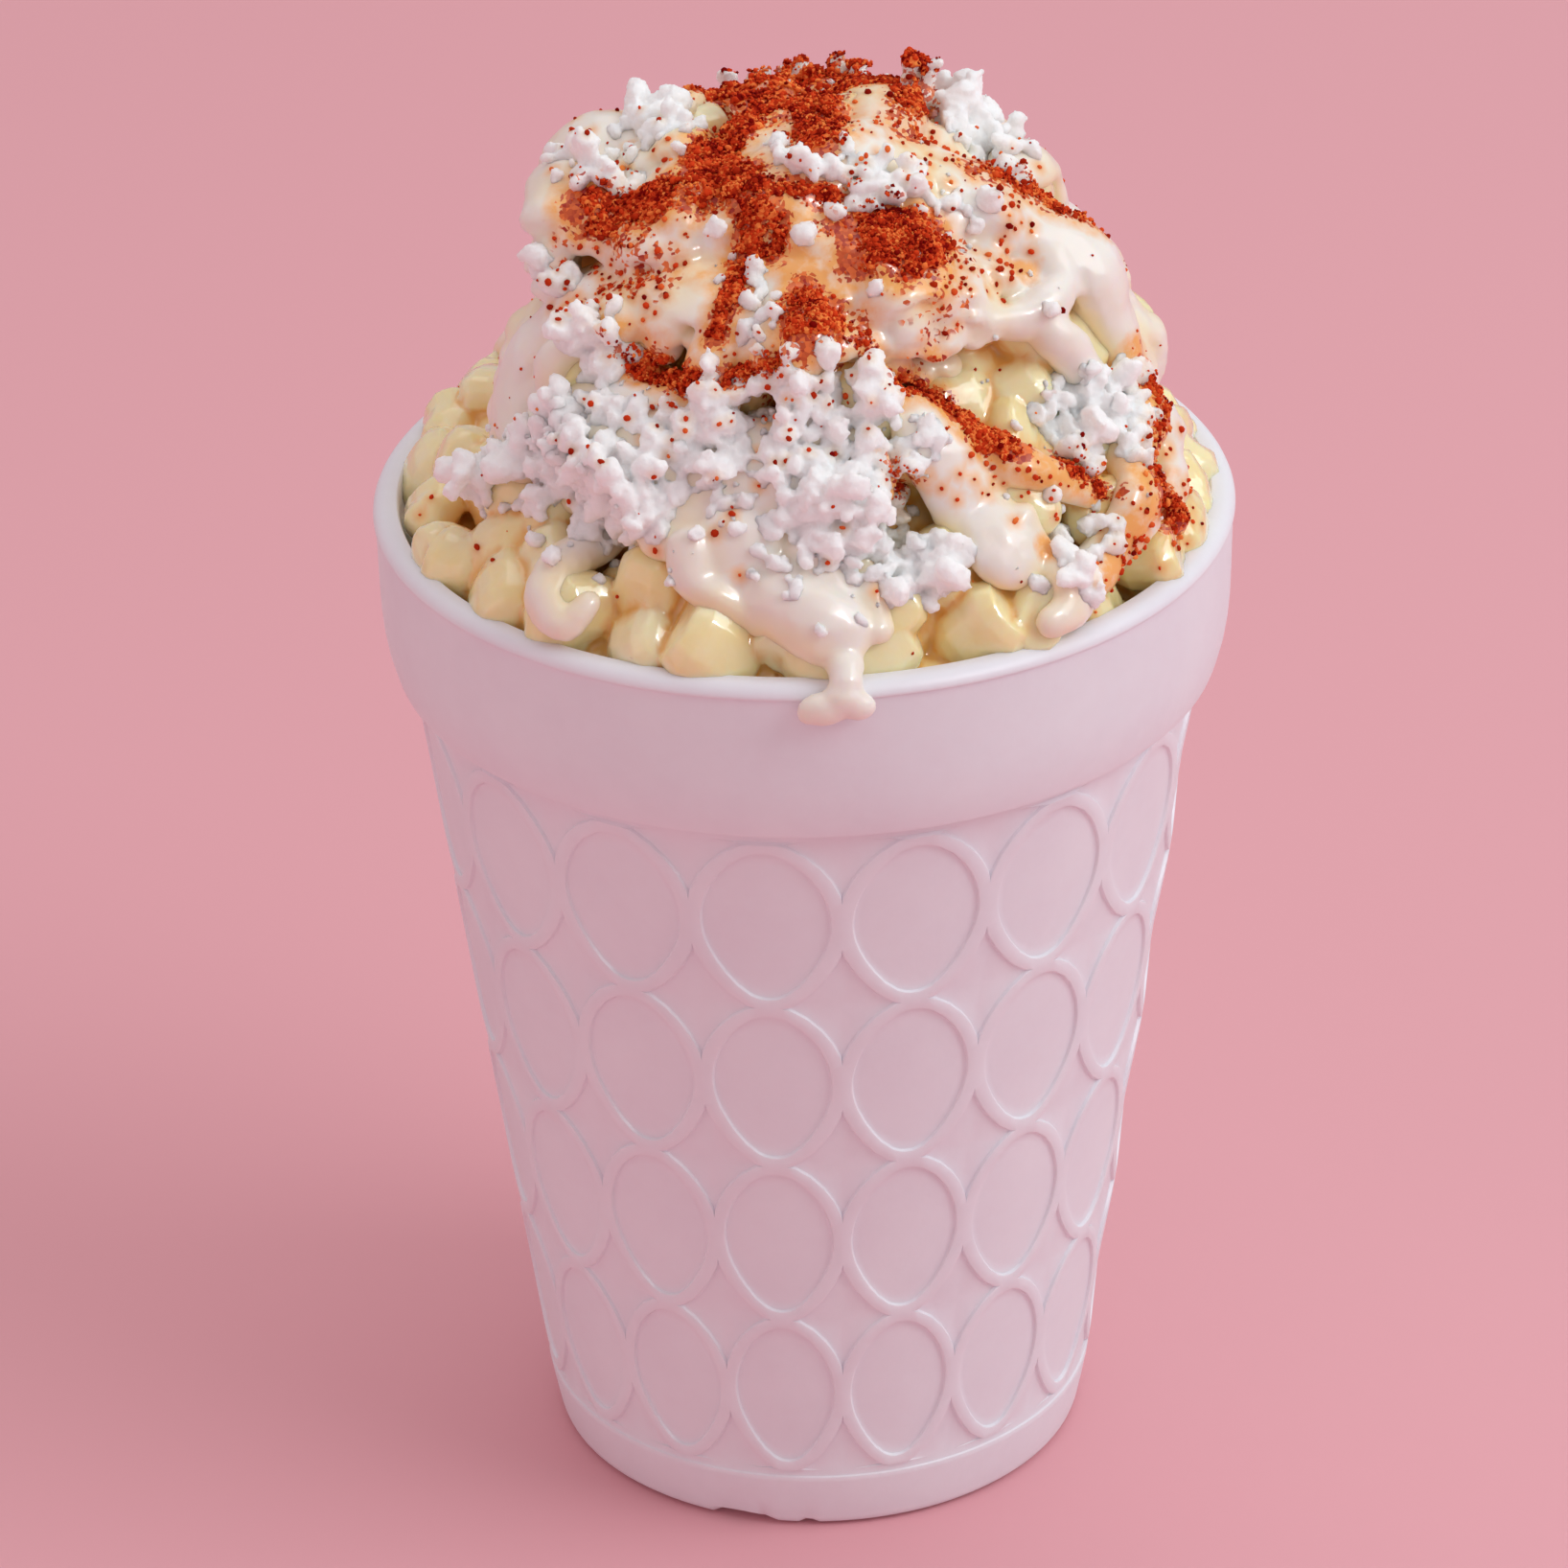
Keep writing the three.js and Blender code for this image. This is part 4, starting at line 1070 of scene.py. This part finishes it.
def cream(surface):
    """Every strand, sheet and drop of cream as swellings, fused and smoothed into one run."""
    ball = shape_of(primitive("ico_sphere", "ball", subdivisions=2, radius=1.0))
    copies = []
    for line in CREAM_STRANDS:
        ways, sizes = along(line, 0.9)
        resting = []
        for way, (width, _) in zip(ways, sizes):
            out = Vector(way)
            side = out.orthogonal().normalized()
            spread = [Vector(), side, -side, out.cross(side), -out.cross(side)]
            towards = [(out + offset * 0.3 * width / HEAP_RADIUS).normalized() for offset in spread]
            radii = [r for r in (surface.radius(way)[0] for way in towards) if r]
            resting.append(0.55 * max(radii) + 0.45 * sum(radii) / len(radii))
        # The strand bridges small dips.
        weights = np.array([1, 3, 5, 6, 5, 3, 1], float)
        padded = np.pad(np.array(resting), 3, mode="edge")
        resting = np.convolve(padded, weights / weights.sum(), mode="valid")
        wobble = rng.uniform(0, 2 * math.pi, 2)
        for index, (way, (width, thickness)) in enumerate(zip(ways, sizes)):
            out = Vector(way)
            ahead = Vector(ways[min(index + 1, len(ways) - 1)] - ways[max(index - 1, 0)]).normalized()
            side = ahead.cross(out).normalized()
            swell = 1 + 0.08 * math.sin(index * 0.33 + wobble[0]) + 0.05 * math.sin(index * 0.81 + wobble[1])
            turn = Matrix((side, ahead, out)).transposed()
            stretch = Matrix.Diagonal((width / 2 * MM * swell, width / 2.4 * MM, thickness / 2 * MM * swell))
            centre = MOUND_CENTRE + out * (resting[index] + 0.12 * thickness * MM)
            copies.append((0, turn @ stretch, centre))
    for trail in CREAM_SHEETS:
        for way in trail_points(trail, int(area_of(trail) / 1.5), rng, even=True):
            out = Vector(way)
            towards = [(out + Vector(rng.normal(size=3)) * 0.035).normalized() for _ in range(6)]
            radii = [r for r in (surface.radius(way)[0] for way in towards) if r]
            if not radii or surface.radius(out)[0] is None:
                continue
            resting = 0.5 * max(radii) + 0.5 * sum(radii) / len(radii)
            turn = turn_to(out, 0) @ Matrix.Diagonal((2.3 * MM, 2.3 * MM, 1.1 * MM))
            copies.append((0, turn, MOUND_CENTRE + out * (resting + 0.1 * MM)))
    for x, y, z, across, deep, up in CREAM_DROP:
        copies.append((0, Matrix.Diagonal((across * MM, deep * MM, up * MM)), (x * MM, y * MM, z * MM)))
    poured = joined_copies("poured_cream", [ball], copies)
    modify(poured, "REMESH", mode="VOXEL", voxel_size=CREAM_VOXEL, use_smooth_shade=True)
    modify(poured, "SMOOTH", factor=0.6, iterations=3)
    roughen(poured, "cream_waves", 5 * MM, 0.7 * MM)
    modify(poured, "SMOOTH", factor=0.5, iterations=2)
    thin_out(poured, CREAM_TRIANGLES)
    smooth(poured)
    # Where the coat is thin the corn shows through.
    thin = [1 - min(1, surface.tree.find_nearest(v.co)[3] / (2.9 * MM)) for v in poured.data.vertices]
    mark_points(poured.data, "thin", thin)
    surface.add(poured)
    return poured


# --------------------------------------------------------------------------------------------------
# Cheese
# --------------------------------------------------------------------------------------------------

# For each heap, by its CAD node: trails of (azimuth, elevation, width), with a number of crumbs.
CHEESE = {
    "cheese_front": [
        ([(-80, 21, 5), (-68, 25, 8), (-54, 30, 11), (-36, 37, 16), (-20, 40, 16), (-4, 40, 16),
          (12, 40, 15), (20, 40, 10)], 420),
        ([(-44, 26, 8), (-34, 28, 9), (-24, 33, 9)], 45),
        ([(-4, 31, 12), (8, 29, 12), (15, 25, 9), (19, 20, 6)], 130),
        ([(-22, 47, 8), (-5, 47, 7), (10, 47, 8), (18, 45, 7)], 60),
    ],
    "cheese_left_peak": [
        ([(-100, 62, 5), (-87, 65, 6), (-72, 68, 5)], 50),
        ([(-119, 68, 4), (-99, 76, 5), (-84, 75, 5)], 26),
    ],
    "cheese_right_peak": [
        ([(104, 75, 5), (112, 69, 8), (106, 65, 9), (86, 69, 7)], 120),
        ([(78, 64, 4), (84, 61, 4)], 16),
    ],
    "cheese_right_shoulder": [
        ([(50, 39, 4), (58, 37.5, 5), (65, 35.5, 5), (70, 33, 4)], 62),
        ([(49, 34, 4), (56, 32, 5), (63, 29, 4.5)], 44),
        ([(37, 17, 4), (44, 21, 6), (49, 22, 6)], 44),
    ],
    "cheese_left_shoulder": [
        ([(-55, 52, 4), (-51, 50, 5.5), (-44, 49, 6)], 54),
        ([(-53, 43, 4), (-50, 39, 5), (-45, 36, 6)], 34),
        ([(-76, 54, 3), (-70, 54.5, 3.5), (-63, 54, 3)], 13),
    ],
    "cheese_back": [
        ([(140, 70, 8), (172, 68, 12), (200, 66, 8)], 85),
        ([(215, 40, 9), (235, 34, 9)], 45),
    ],
    "cheese_back_low": [([(120, 30, 8), (140, 32, 12), (158, 30, 8)], 80)],
}
LOOSE_CRUMBS = [
    ([(-32, 79, 5), (-10, 80, 6), (14, 78, 6), (30, 75, 5)], 22),
    ([(16, 70, 5), (34, 72, 6), (48, 67, 6), (54, 63, 4)], 34),
    ([(10, 70, 3.5), (22, 71, 4), (35, 71, 4.5), (46, 68, 4)], 44),
    ([(-12, 77, 5), (4, 78, 5), (20, 76, 5)], 22),
    ([(-24, 69, 4), (-15, 63, 5), (-10, 58, 5), (-10, 53, 5)], 30),
    ([(-50, 30, 30), (0, 35, 50), (66, 33, 30)], 30),
    ([(-60, 66, 30), (30, 66, 30), (120, 60, 40), (200, 50, 60)], 34),
]
MOST_TOPPING = 7.5 * MM  # no crumb is laid on anything higher than this above the corn
FINE_SHARE = 0.9  # small bits beside each crumb
LAID_LAST = 0.35  # share of the crumbs that lie clean on top of the ground chile
CRUMB_SHAPES = 16
FINE_SHAPES = 5


def crumb_shape(seed, lumps, faces):
    """A crumb about 1 across: small lumps stuck together, broken flat on a few sides."""
    draw = np.random.default_rng(seed)
    bead = shape_of(primitive("ico_sphere", "lump", subdivisions=2, radius=1.0))
    copies, centre = [], np.zeros(3)
    for _ in range(lumps):
        size = draw.uniform(0.15, 0.3)
        turn = turn_to(Vector(draw.normal(size=3)).normalized(), draw.uniform(0, 6.3))
        copies.append((0, turn @ Matrix.Diagonal(tuple(size * draw.uniform(0.8, 1.3, 3))), centre))
        step = draw.normal(size=3)
        centre = centre * 0.6 + step / np.linalg.norm(step) * size * 0.95
    crumb = joined_copies("crumb", [bead], copies)
    modify(crumb, "REMESH", mode="VOXEL", voxel_size=0.045)
    for _ in range(4):
        normal = Vector(draw.normal(size=3)).normalized()
        edit(crumb)
        cut = normal * draw.uniform(0.24, 0.38)
        bpy.ops.mesh.bisect(plane_co=cut, plane_no=normal, clear_outer=True, use_fill=True)
        done()
    modify(crumb, "REMESH", mode="VOXEL", voxel_size=0.04)
    for scale, strength in ((0.2, 0.13), (0.075, 0.055)):
        roughen(crumb, "pitted", scale, strength)
    thin_out(crumb, faces)
    return shape_of(crumb)


class Crumbs:
    """The crumbled cheese, laid in layers, each on what lies there already."""

    def __init__(self):
        self.shapes = [crumb_shape(100 + i, 5 + i % 6, 210) for i in range(CRUMB_SHAPES)]
        self.shapes += [crumb_shape(200 + i, 2, 40) for i in range(FINE_SHAPES)]
        self.draw = draw = np.random.default_rng(SEED + 5)
        self.laid = {name: [] for name in [*CHEESE, "cheese_loose"]}
        heaps, loose = [], []
        for name, trails in [*CHEESE.items(), ("cheese_loose", LOOSE_CRUMBS)]:
            for trail, count in trails:
                chunks = trail_points(trail, count, draw)
                bits = trail_points(trail, int(count * FINE_SHARE), draw)
                for index, way in enumerate([*chunks, *bits]):
                    chunky = index < len(chunks)
                    size = 1.75 + 2.8 * draw.random() ** 1.7 if chunky else 0.7 + 1.1 * draw.random()
                    clump = (name, way, size * (0.85 if name == "cheese_loose" else 1), chunky)
                    (loose if name == "cheese_loose" else heaps).append(clump)
        heaps = [heaps[index] for index in draw.permutation(len(heaps))]
        first = int(len(heaps) * (1 - LAID_LAST))
        self.early, self.late = heaps[:first], heaps[first:] + loose

    def lay(self, surface, crumbs, clean):
        """Lays crumbs in two goes. A clean one keeps nearly free of chile, and the others take some."""
        if clean:
            spots = [MOUND_CENTRE + Vector(crumb[1]) * (HEAP_RADIUS * MM) for crumb in crumbs]
            dusty = chile_amount(np.array(spots)) > 0.45
            crumbs = [crumb for crumb, under in zip(crumbs, dusty) if not under or self.draw.random() < 0.12]
        for go in (crumbs[::2], crumbs[1::2]):
            layer = []
            for name, way, size, chunky in go:
                radius, _ = surface.radius(way)
                highest = outline_radius(*angles_of(MOUND_CENTRE + Vector(way))) + MOST_TOPPING
                if radius is None or not 36 * MM < radius < highest:
                    continue
                turn = turn_to(Vector(self.draw.normal(size=3)).normalized(), self.draw.uniform(0, 6.3))
                stretch = Matrix.Diagonal(tuple(size * MM * self.draw.uniform(0.7, 1.3, 3)))
                centre = MOUND_CENTRE + Vector(way) * (radius + 0.08 * size * MM)
                first, kinds = (0, CRUMB_SHAPES) if chunky else (CRUMB_SHAPES, FINE_SHAPES)
                shape = first + self.draw.integers(kinds)
                takes = 0.12 if clean else min(1, 0.1 + 1.2 * self.draw.random())
                layer.append((int(shape), turn @ stretch, centre))
                self.laid[name].append((layer[-1], self.draw.random(), takes))
            both = joined_copies("layer", self.shapes, layer)
            surface.add(both)
            bpy.data.objects.remove(both)

    def pieces(self):
        """Each heap as one body, and the node it stands for."""
        made = []
        for name, crumbs in self.laid.items():
            copies, tones, takes = zip(*crumbs)
            title = name.replace("cheese", "crumbs")
            piece = joined_copies(title, self.shapes, copies, tone=tones, takes=takes)
            parts = Surface()
            parts.add(piece)
            marks = {mark: values_of(piece, mark) for mark in ("tone", "takes")}
            one_body(piece, parts, marks, CRUMB_VOXEL, CRUMB_TRIANGLES)
            for scale, strength in ((0.9, 0.36), (0.45, 0.2)):
                roughen(piece, "curds", scale * MM, strength * MM)
            made.append((piece, name))
        return made


# --------------------------------------------------------------------------------------------------
# Ground chile
# --------------------------------------------------------------------------------------------------

# Trails of (azimuth, elevation, width), with how thick the chile lies from 0 to 1.
CHILE = [
    # Over the top.
    ([(-55, 75, 4), (-71, 80, 5.5), (-104, 84, 6.5), (-167, 79, 6.5), (-176, 74, 5)], 1.0),
    ([(163, 86, 6), (39, 86, 6), (13, 80, 5)], 1.0),
    ([(162, 82, 5), (150, 79, 6), (130, 76, 6), (115, 75, 5)], 1.0),
    ([(121, 75, 4), (74, 77, 4)], 0.75),
    ([(-58, 76, 4), (-36, 77, 5), (-28, 74, 5)], 1.0),
    # The ridge on the left, and thinly on into the middle.
    ([(-70, 62, 4.5), (-64, 65, 6), (-58, 68, 5.5), (-52, 70, 5), (-45, 72, 5.5), (-38, 74, 5.5),
      (-30, 76, 5)], 1.05),
    ([(-30, 75, 4.5), (-22, 74, 3.5), (-13, 74, 2.6), (-4, 74, 2.4), (6, 73, 2.4), (16, 73, 2),
      (24, 73, 2)], 0.75),
    ([(5, 69, 2.5), (9, 69, 2.5)], 0.85),
    # Down the middle in two arms.
    ([(-19, 73, 3.5), (-17, 70, 3.5), (-19, 66, 3.5), (-18, 62, 3), (-19, 58, 2.6),
      (-20, 54.5, 2.4)], 0.95),
    ([(-14, 71, 4), (-10, 67, 3.5), (-8, 70, 2.5)], 0.95),
    ([(0, 61, 3.5), (0, 57.5, 5.5), (0, 53.5, 5)], 1.15),
    ([(6, 57.5, 4), (5, 54.5, 4)], 1.0),
    # The thick patch right of the middle.
    ([(17, 64.5, 6), (25, 63.5, 7), (34, 63, 6)], 1.25),
    ([(18, 66.5, 6), (27, 66, 6.5), (36, 65, 5.5)], 1.25),
    # Below the upper scoop, left and right.
    ([(-44, 50.5, 2.4), (-38, 50.5, 3), (-33, 50.5, 3.4), (-28, 49.5, 3.2), (-22, 48.5, 2.8)], 1.0),
    ([(-17, 49.5, 2.6), (-10, 50.5, 3), (-5, 51, 2.6)], 0.9),
    ([(11, 56, 3), (14, 53, 2.5)], 0.85),
    ([(19, 49, 3.5), (26, 49, 4.5), (30, 47.5, 4.5), (31, 44, 4), (33, 40, 4.5), (38, 36, 3.5)], 1.05),
    # Thin streaks on the right.
    ([(70, 68, 3), (75, 63, 3.5), (78, 58, 4), (80, 53, 3)], 0.8),
    ([(76, 35, 4), (73, 30, 5), (66, 27, 4)], 0.45),
    ([(46, 32, 3), (49, 28, 3.5), (52, 25, 3)], 0.75),
    ([(60, 22, 5), (65, 20, 6), (63, 16, 5)], 1.0),
    ([(14, 38, 3), (17, 35, 3.5)], 0.8),
    ([(-62, 58, 8), (-44, 61, 7)], 0.25),
    ([(30, 57, 8), (44, 62, 5)], 0.25),
    # The back.
    ([(150, 74, 8), (185, 70, 9), (-140, 68, 7)], 0.9),
    ([(130, 52, 6), (150, 44, 6)], 0.75),
    ([(-120, 50, 6), (-140, 42, 5)], 0.75),
    ([(-165, 34, 5), (165, 26, 5)], 0.5),
]
# Where orange oil has spread farther: trails as for the chile.
OIL = [
    ([(74, 35, 7), (72, 30, 7.5), (66, 27, 6.5), (58, 24, 6), (51, 19, 5), (46, 15, 4)], 1.0),
    ([(33, 41, 5), (38, 35, 7), (44, 31, 7), (50, 27, 6)], 0.85),
    ([(14, 38, 4), (17, 35, 5), (16, 31, 5)], 1.0),
    ([(22, 59.5, 4), (31, 58.5, 5), (38, 61, 5), (39, 65, 4)], 1.0),
    ([(-1, 65, 4), (-1, 61, 4.5)], 1.0),
    ([(-14, 74, 4), (-9, 71, 4)], 1.0),
    ([(-42, 62, 4), (-36, 63.5, 5), (-28, 62, 4)], 0.5),
    ([(74, 66, 4), (80, 58, 4), (82, 50, 3)], 0.8),
    ([(-48, 52, 4), (-28, 51, 5)], 0.7),
    ([(56, 57.5, 3), (60, 55, 3)], 0.7),
    ([(36, 22, 3), (42, 20, 4), (40, 17, 3)], 0.7),
    ([(45, 32, 3), (50, 28, 3)], 0.9),
    ([(60, 22, 6), (64, 18, 6)], 0.9),
]
# Where single coarse flakes lie: trails of (azimuth, elevation, width), with their number.
FLAKES = [
    ([(62, 68, 6), (78, 63, 7), (86, 54, 6), (86, 45, 6)], 70),
    ([(50, 60, 7), (62, 56, 9)], 34),
    ([(-70, 56, 9), (-50, 59, 11), (-34, 61, 10)], 80),
    ([(24, 60, 10), (44, 61, 9)], 44),
    ([(28, 40, 9), (34, 32, 8), (44, 28, 10), (52, 27, 8)], 55),
    ([(74, 32, 5), (66, 27, 5), (56, 23, 5), (48, 15, 5)], 75),
    ([(-34, 48, 12), (-8, 46, 12), (16, 44, 12)], 45),
    ([(90, 74, 10), (60, 74, 12), (30, 72, 9)], 60),
    ([(-100, 66, 8), (-70, 66, 8), (-40, 72, 8)], 50),
    ([(-50, 44, 16), (-20, 34, 20), (10, 32, 20)], 30),
    ([(42, 14, 8), (64, 14, 12), (82, 20, 10)], 50),
    ([(-86, 22, 8), (-64, 18, 10), (-40, 14, 10)], 6),
    ([(150, 66, 30), (200, 55, 40), (240, 50, 30)], 160),
]
STRAY_GRAINS = 800


def uneven(ways):
    """Smooth noise from about -1 to 1 in patches of a few millimetres, for unit vectors."""
    shift = Vector((3, 1, 2))
    ways = [Vector(way) for way in ways]
    return np.array([noise.noise(way * 14) + 0.6 * noise.noise(way * 37 + shift) for way in ways])


def near_trails(ways, trails, wider=0.0):
    """How near unit vectors lie to trails, from 0 to about 1, with the trails some millimetres wider."""
    amount = np.zeros(len(ways))
    for trail, thickness in trails:
        knots = np.array(trail, float)
        points = direction(knots[:, 0], knots[:, 1])
        for start in range(len(points) - 1):
            from_, to = points[start], points[start + 1]
            span = to - from_
            share = np.clip((ways - from_) @ span / max(span @ span, 1e-9), 0, 1)
            nearest = from_ + share[:, None] * span
            width = knots[start, 2] + share * (knots[start + 1, 2] - knots[start, 2])
            away = np.linalg.norm(ways - nearest, axis=1) * HEAP_RADIUS
            reach = 0.6 * width + wider
            amount = np.maximum(amount, thickness * np.clip(1.3 - (away / reach) ** 2, 0, 1.1))
    return amount


def amount_towards(way):
    """How thickly the chile lies where the heap's surface is, in one direction."""
    return chile_amount((np.array(MOUND_CENTRE) + way * (HEAP_RADIUS * MM))[None])[0]


def ways_to(places):
    """Unit vectors from the heap's centre to places."""
    offset = places - np.array(MOUND_CENTRE)
    return offset / np.maximum(np.linalg.norm(offset, axis=1), 1e-6)[:, None]


def chile_amount(places):
    """How thickly the chile lies at places on the heap, from 0 to 1."""
    ways = ways_to(places)
    amount = near_trails(ways, CHILE)
    some = amount > 0.01
    amount[some] = np.clip(amount[some] + 0.75 * uneven(ways[some]) * np.minimum(1, 3 * amount[some]), 0, 1)
    return amount


def bury(piece):
    """Marks how deep under the heap's outline each point of a piece lies, from 0 to 1 at 7 mm: where the
    kernels take painted shade.
    """
    places = places_of(piece)
    azimuth, elevation = angles_of(places)
    depth = outline_radius(azimuth, elevation) - np.linalg.norm(places - np.array(MOUND_CENTRE), axis=1)
    buried_shade = np.clip((depth - 1.5 * MM) / (5.5 * MM), 0, 1)
    mark_points(piece.data, "buried_shade", buried_shade)


def dust(piece, flakes):
    """Marks how much chile lies on each point of a piece, and how near a single flake is."""
    places = places_of(piece)
    ways = ways_to(places)
    upward = np.clip(0.55 + 0.7 * (ways * normals_of(piece)).sum(1), 0, 1)
    amount = chile_amount(places) * upward
    oil = np.maximum(near_trails(ways, OIL), 0.9 * near_trails(ways, CHILE, wider=1.5))
    some = oil > 0.01
    oil[some] = np.clip(oil[some] + 0.35 * uneven(ways[some]), 0, 1) * upward[some]
    if "takes" in piece.data.attributes:
        takes = values_of(piece, "takes")
        amount *= takes
        oil *= np.sqrt(takes)
    mark_points(piece.data, "oil", oil)
    mark_points(piece.data, "chile", amount)
    near = np.array([flakes.find(place)[2] for place in places])
    mark_points(piece.data, "halo", np.clip(1.2 - near / (1.1 * MM), 0, 1) * upward)


def chile_crust(surface):
    """Where the chile lies thickest, as one thin rough layer."""
    draw = np.random.default_rng(SEED + 7)
    bead = shape_of(primitive("ico_sphere", "bead", subdivisions=1, radius=1.0))
    copies = []
    for trail, _ in CHILE:
        for way in trail_points(trail, int(area_of(trail) * 3), draw, even=True):
            amount = amount_towards(way)
            radius, _ = surface.radius(way)
            if radius is None or amount < 0.74 + 0.22 * draw.random():
                continue
            size = draw.uniform(0.3, 0.62) * MM
            turn = turn_to(Vector(way), 0) @ Matrix.Diagonal((size * 1.2, size * 1.2, size * 0.8))
            copies.append((0, turn, MOUND_CENTRE + Vector(way) * (radius + (0.5 * amount - 0.42) * MM)))
    crust = joined_copies("chile_crust", [bead], copies)
    modify(crust, "REMESH", mode="VOXEL", voxel_size=CRUST_VOXEL)
    for scale, strength in ((1.2, 0.45), (0.4, 0.35)):
        roughen(crust, "grit", scale * MM, strength * MM)
    thin_out(crust, CRUST_TRIANGLES)
    surface.add(crust)
    return smooth(crust)


def ground_chile(surface):
    """The grains that lie apart or on the crust, and a tree of the places of the coarse single flakes."""
    draw = np.random.default_rng(SEED + 9)
    shapes = [shape_of(primitive("uv_sphere", "grain", segments=4, ring_count=2, radius=0.5))]
    shapes += [shape_of(primitive("uv_sphere", "flake", segments=6, ring_count=4, radius=0.5))]
    copies, tones, flakes = [], [], []

    def lay(way, which, size, tone):
        radius, _ = surface.radius(way)
        if radius is None or radius < 34 * MM:
            return
        turn = turn_to(Vector(draw.normal(size=3)).normalized(), draw.uniform(0, 6.3))
        stretch = Matrix.Diagonal(tuple(size * MM * draw.uniform(0.6, 1.2, 3)))
        centre = MOUND_CENTRE + Vector(way) * (radius + 0.1 * size * MM)
        copies.append((which, turn @ stretch, centre))
        tones.append(float(np.clip(tone, 0, 1)))
        if which == 1:
            flakes.append(centre)

    for trail, thickness in CHILE:
        area = area_of(trail)
        for way in trail_points(trail, int(area * 8 * thickness**1.3), draw):
            amount = amount_towards(way)
            if draw.random() > 0.12 + amount:
                continue
            tone = 0.42 + 0.2 * draw.normal() + 0.6 * noise.noise(Vector(way) * 30) + 0.25 * (1 - amount)
            lay(way, 0, draw.uniform(0.28, 0.52), tone)
        for way in trail_points(trail, int(area * 0.35 * thickness), draw):
            lay(way, 1, draw.uniform(0.5, 0.85), 0.35 + 0.2 * draw.normal())
    for trail, count in FLAKES:
        for way in trail_points(trail, count, draw):
            lay(way, 1, 0.4 + 0.5 * draw.random() ** 1.4, 0.4 + 0.2 * draw.normal())
    azimuth, height = draw.uniform(-180, 180, STRAY_GRAINS), draw.uniform(0.2, 1, STRAY_GRAINS)
    for way in direction(azimuth, np.degrees(np.arcsin(height))):
        if draw.random() < way[2] ** 2 * (0.7 + 0.7 * noise.noise(Vector(way) * 9)):
            lay(way, 0, 0.25 + 0.25 * draw.random(), 0.5 + 0.25 * draw.normal())
    tree = KDTree(len(flakes))
    for index, place_at in enumerate(flakes):
        tree.insert(place_at, index)
    tree.balance()
    return joined_copies("chile_grains", shapes, copies, tone=tones), tree


# --------------------------------------------------------------------------------------------------
# Camera, floor and light
# --------------------------------------------------------------------------------------------------


# The photograph's viewpoint, fitted to the cup's rim, band and foot. The place is in millimetres.
CAMERA_LENS = 182.78
CAMERA_PLACE = Vector((-12.528, -776.193, 504.832))
CAMERA_RIGHT = Vector((0.99961826, -0.0218324, -0.01693181))
CAMERA_UP = Vector((0.02534481, 0.48064016, 0.87655158))
CAMERA_AHEAD = Vector((0.01099912, 0.8766461, -0.48101002))


def add_camera():
    """The camera, 0.78 m in front, looking down by 29 degrees."""
    lens = bpy.data.cameras.new("camera")
    lens.sensor_width = 36
    lens.lens = CAMERA_LENS
    lens.clip_end = 20
    camera = bring_in("camera", lens)
    turn = Matrix((CAMERA_RIGHT, CAMERA_UP, -CAMERA_AHEAD)).transposed().to_4x4()
    camera.matrix_world = Matrix.Translation(CAMERA_PLACE * MM) @ turn
    bpy.context.scene.camera = camera


def add_light(name, size, power, place_at, aim, colour=(1, 1, 1)):
    lamp = bpy.data.lights.new(name, "AREA")
    lamp.shape = "DISK"
    lamp.size = size
    lamp.energy = power
    lamp.color = colour
    light = bring_in(name, lamp)
    light.location = place_at
    light.rotation_euler = (Vector(aim) - Vector(place_at)).to_track_quat("-Z", "Y").to_euler()
    return light


def studio():
    floor = primitive("plane", "floor", size=8, location=(0, 0, -0.2 * MM))
    bpy.ops.object.transform_apply(location=True, rotation=True, scale=True)
    floor.data.materials.append(floor_look())
    middle = (0, 0, 0.1)
    add_light("key", 0.9, 7.1, (0.95, -0.3, 0.9), middle, (0.87, 0.98, 1))
    add_light("overhead", 1.3, 3.8, (0.1, 0.35, 1.3), middle, (0.97, 1, 1))
    add_light("fill", 1.3, 2.4, (-1.2, -0.7, 0.4), middle, (1, 0.45, 0.5))
    # A small lamp that only wet surfaces reflect.
    glint = add_light("glint", 0.2, 10, (0.75, -0.75, 1.0), middle)
    glint.visible_diffuse = False
    world = bpy.data.worlds.new("studio")
    world.use_nodes = True
    sky = world.node_tree.nodes["Background"].inputs
    sky["Color"].default_value = (1, 0.93, 0.95, 1)
    sky["Strength"].default_value = 0.52
    bpy.context.scene.world = world
    bpy.context.scene.view_settings.view_transform = "Standard"


# --------------------------------------------------------------------------------------------------
# Putting it together
# --------------------------------------------------------------------------------------------------
add_camera()
studio()

finish(foam_cup(), foam_look(), "foam", "cup")

laid = Surface()
core = under_corn()
laid.add(core)
kernels = corn(laid, core)
poured = cream(laid)
crumbs = Crumbs()
crumbs.lay(laid, crumbs.early, clean=False)
crust = chile_crust(laid)
crumbs.lay(laid, crumbs.late, clean=True)
grains, flakes = ground_chile(laid)

bury(kernels)
dust(kernels, flakes)
dust(poured, flakes)
finish(core, under_corn_look(), "corn", "corn")
finish(kernels, kernel_look(), "corn", "corn")
finish(poured, cream_look(), "cream", "cream", "cream_front")
cheese_material = cheese_look()
for piece, node in crumbs.pieces():
    dust(piece, flakes)
    finish(piece, cheese_material, "cheese", *([node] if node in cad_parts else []))
finish(crust, chile_look("chile_crust"), "cheese")
finish(grains, chile_look("ground_chile", "tone"), "cheese")
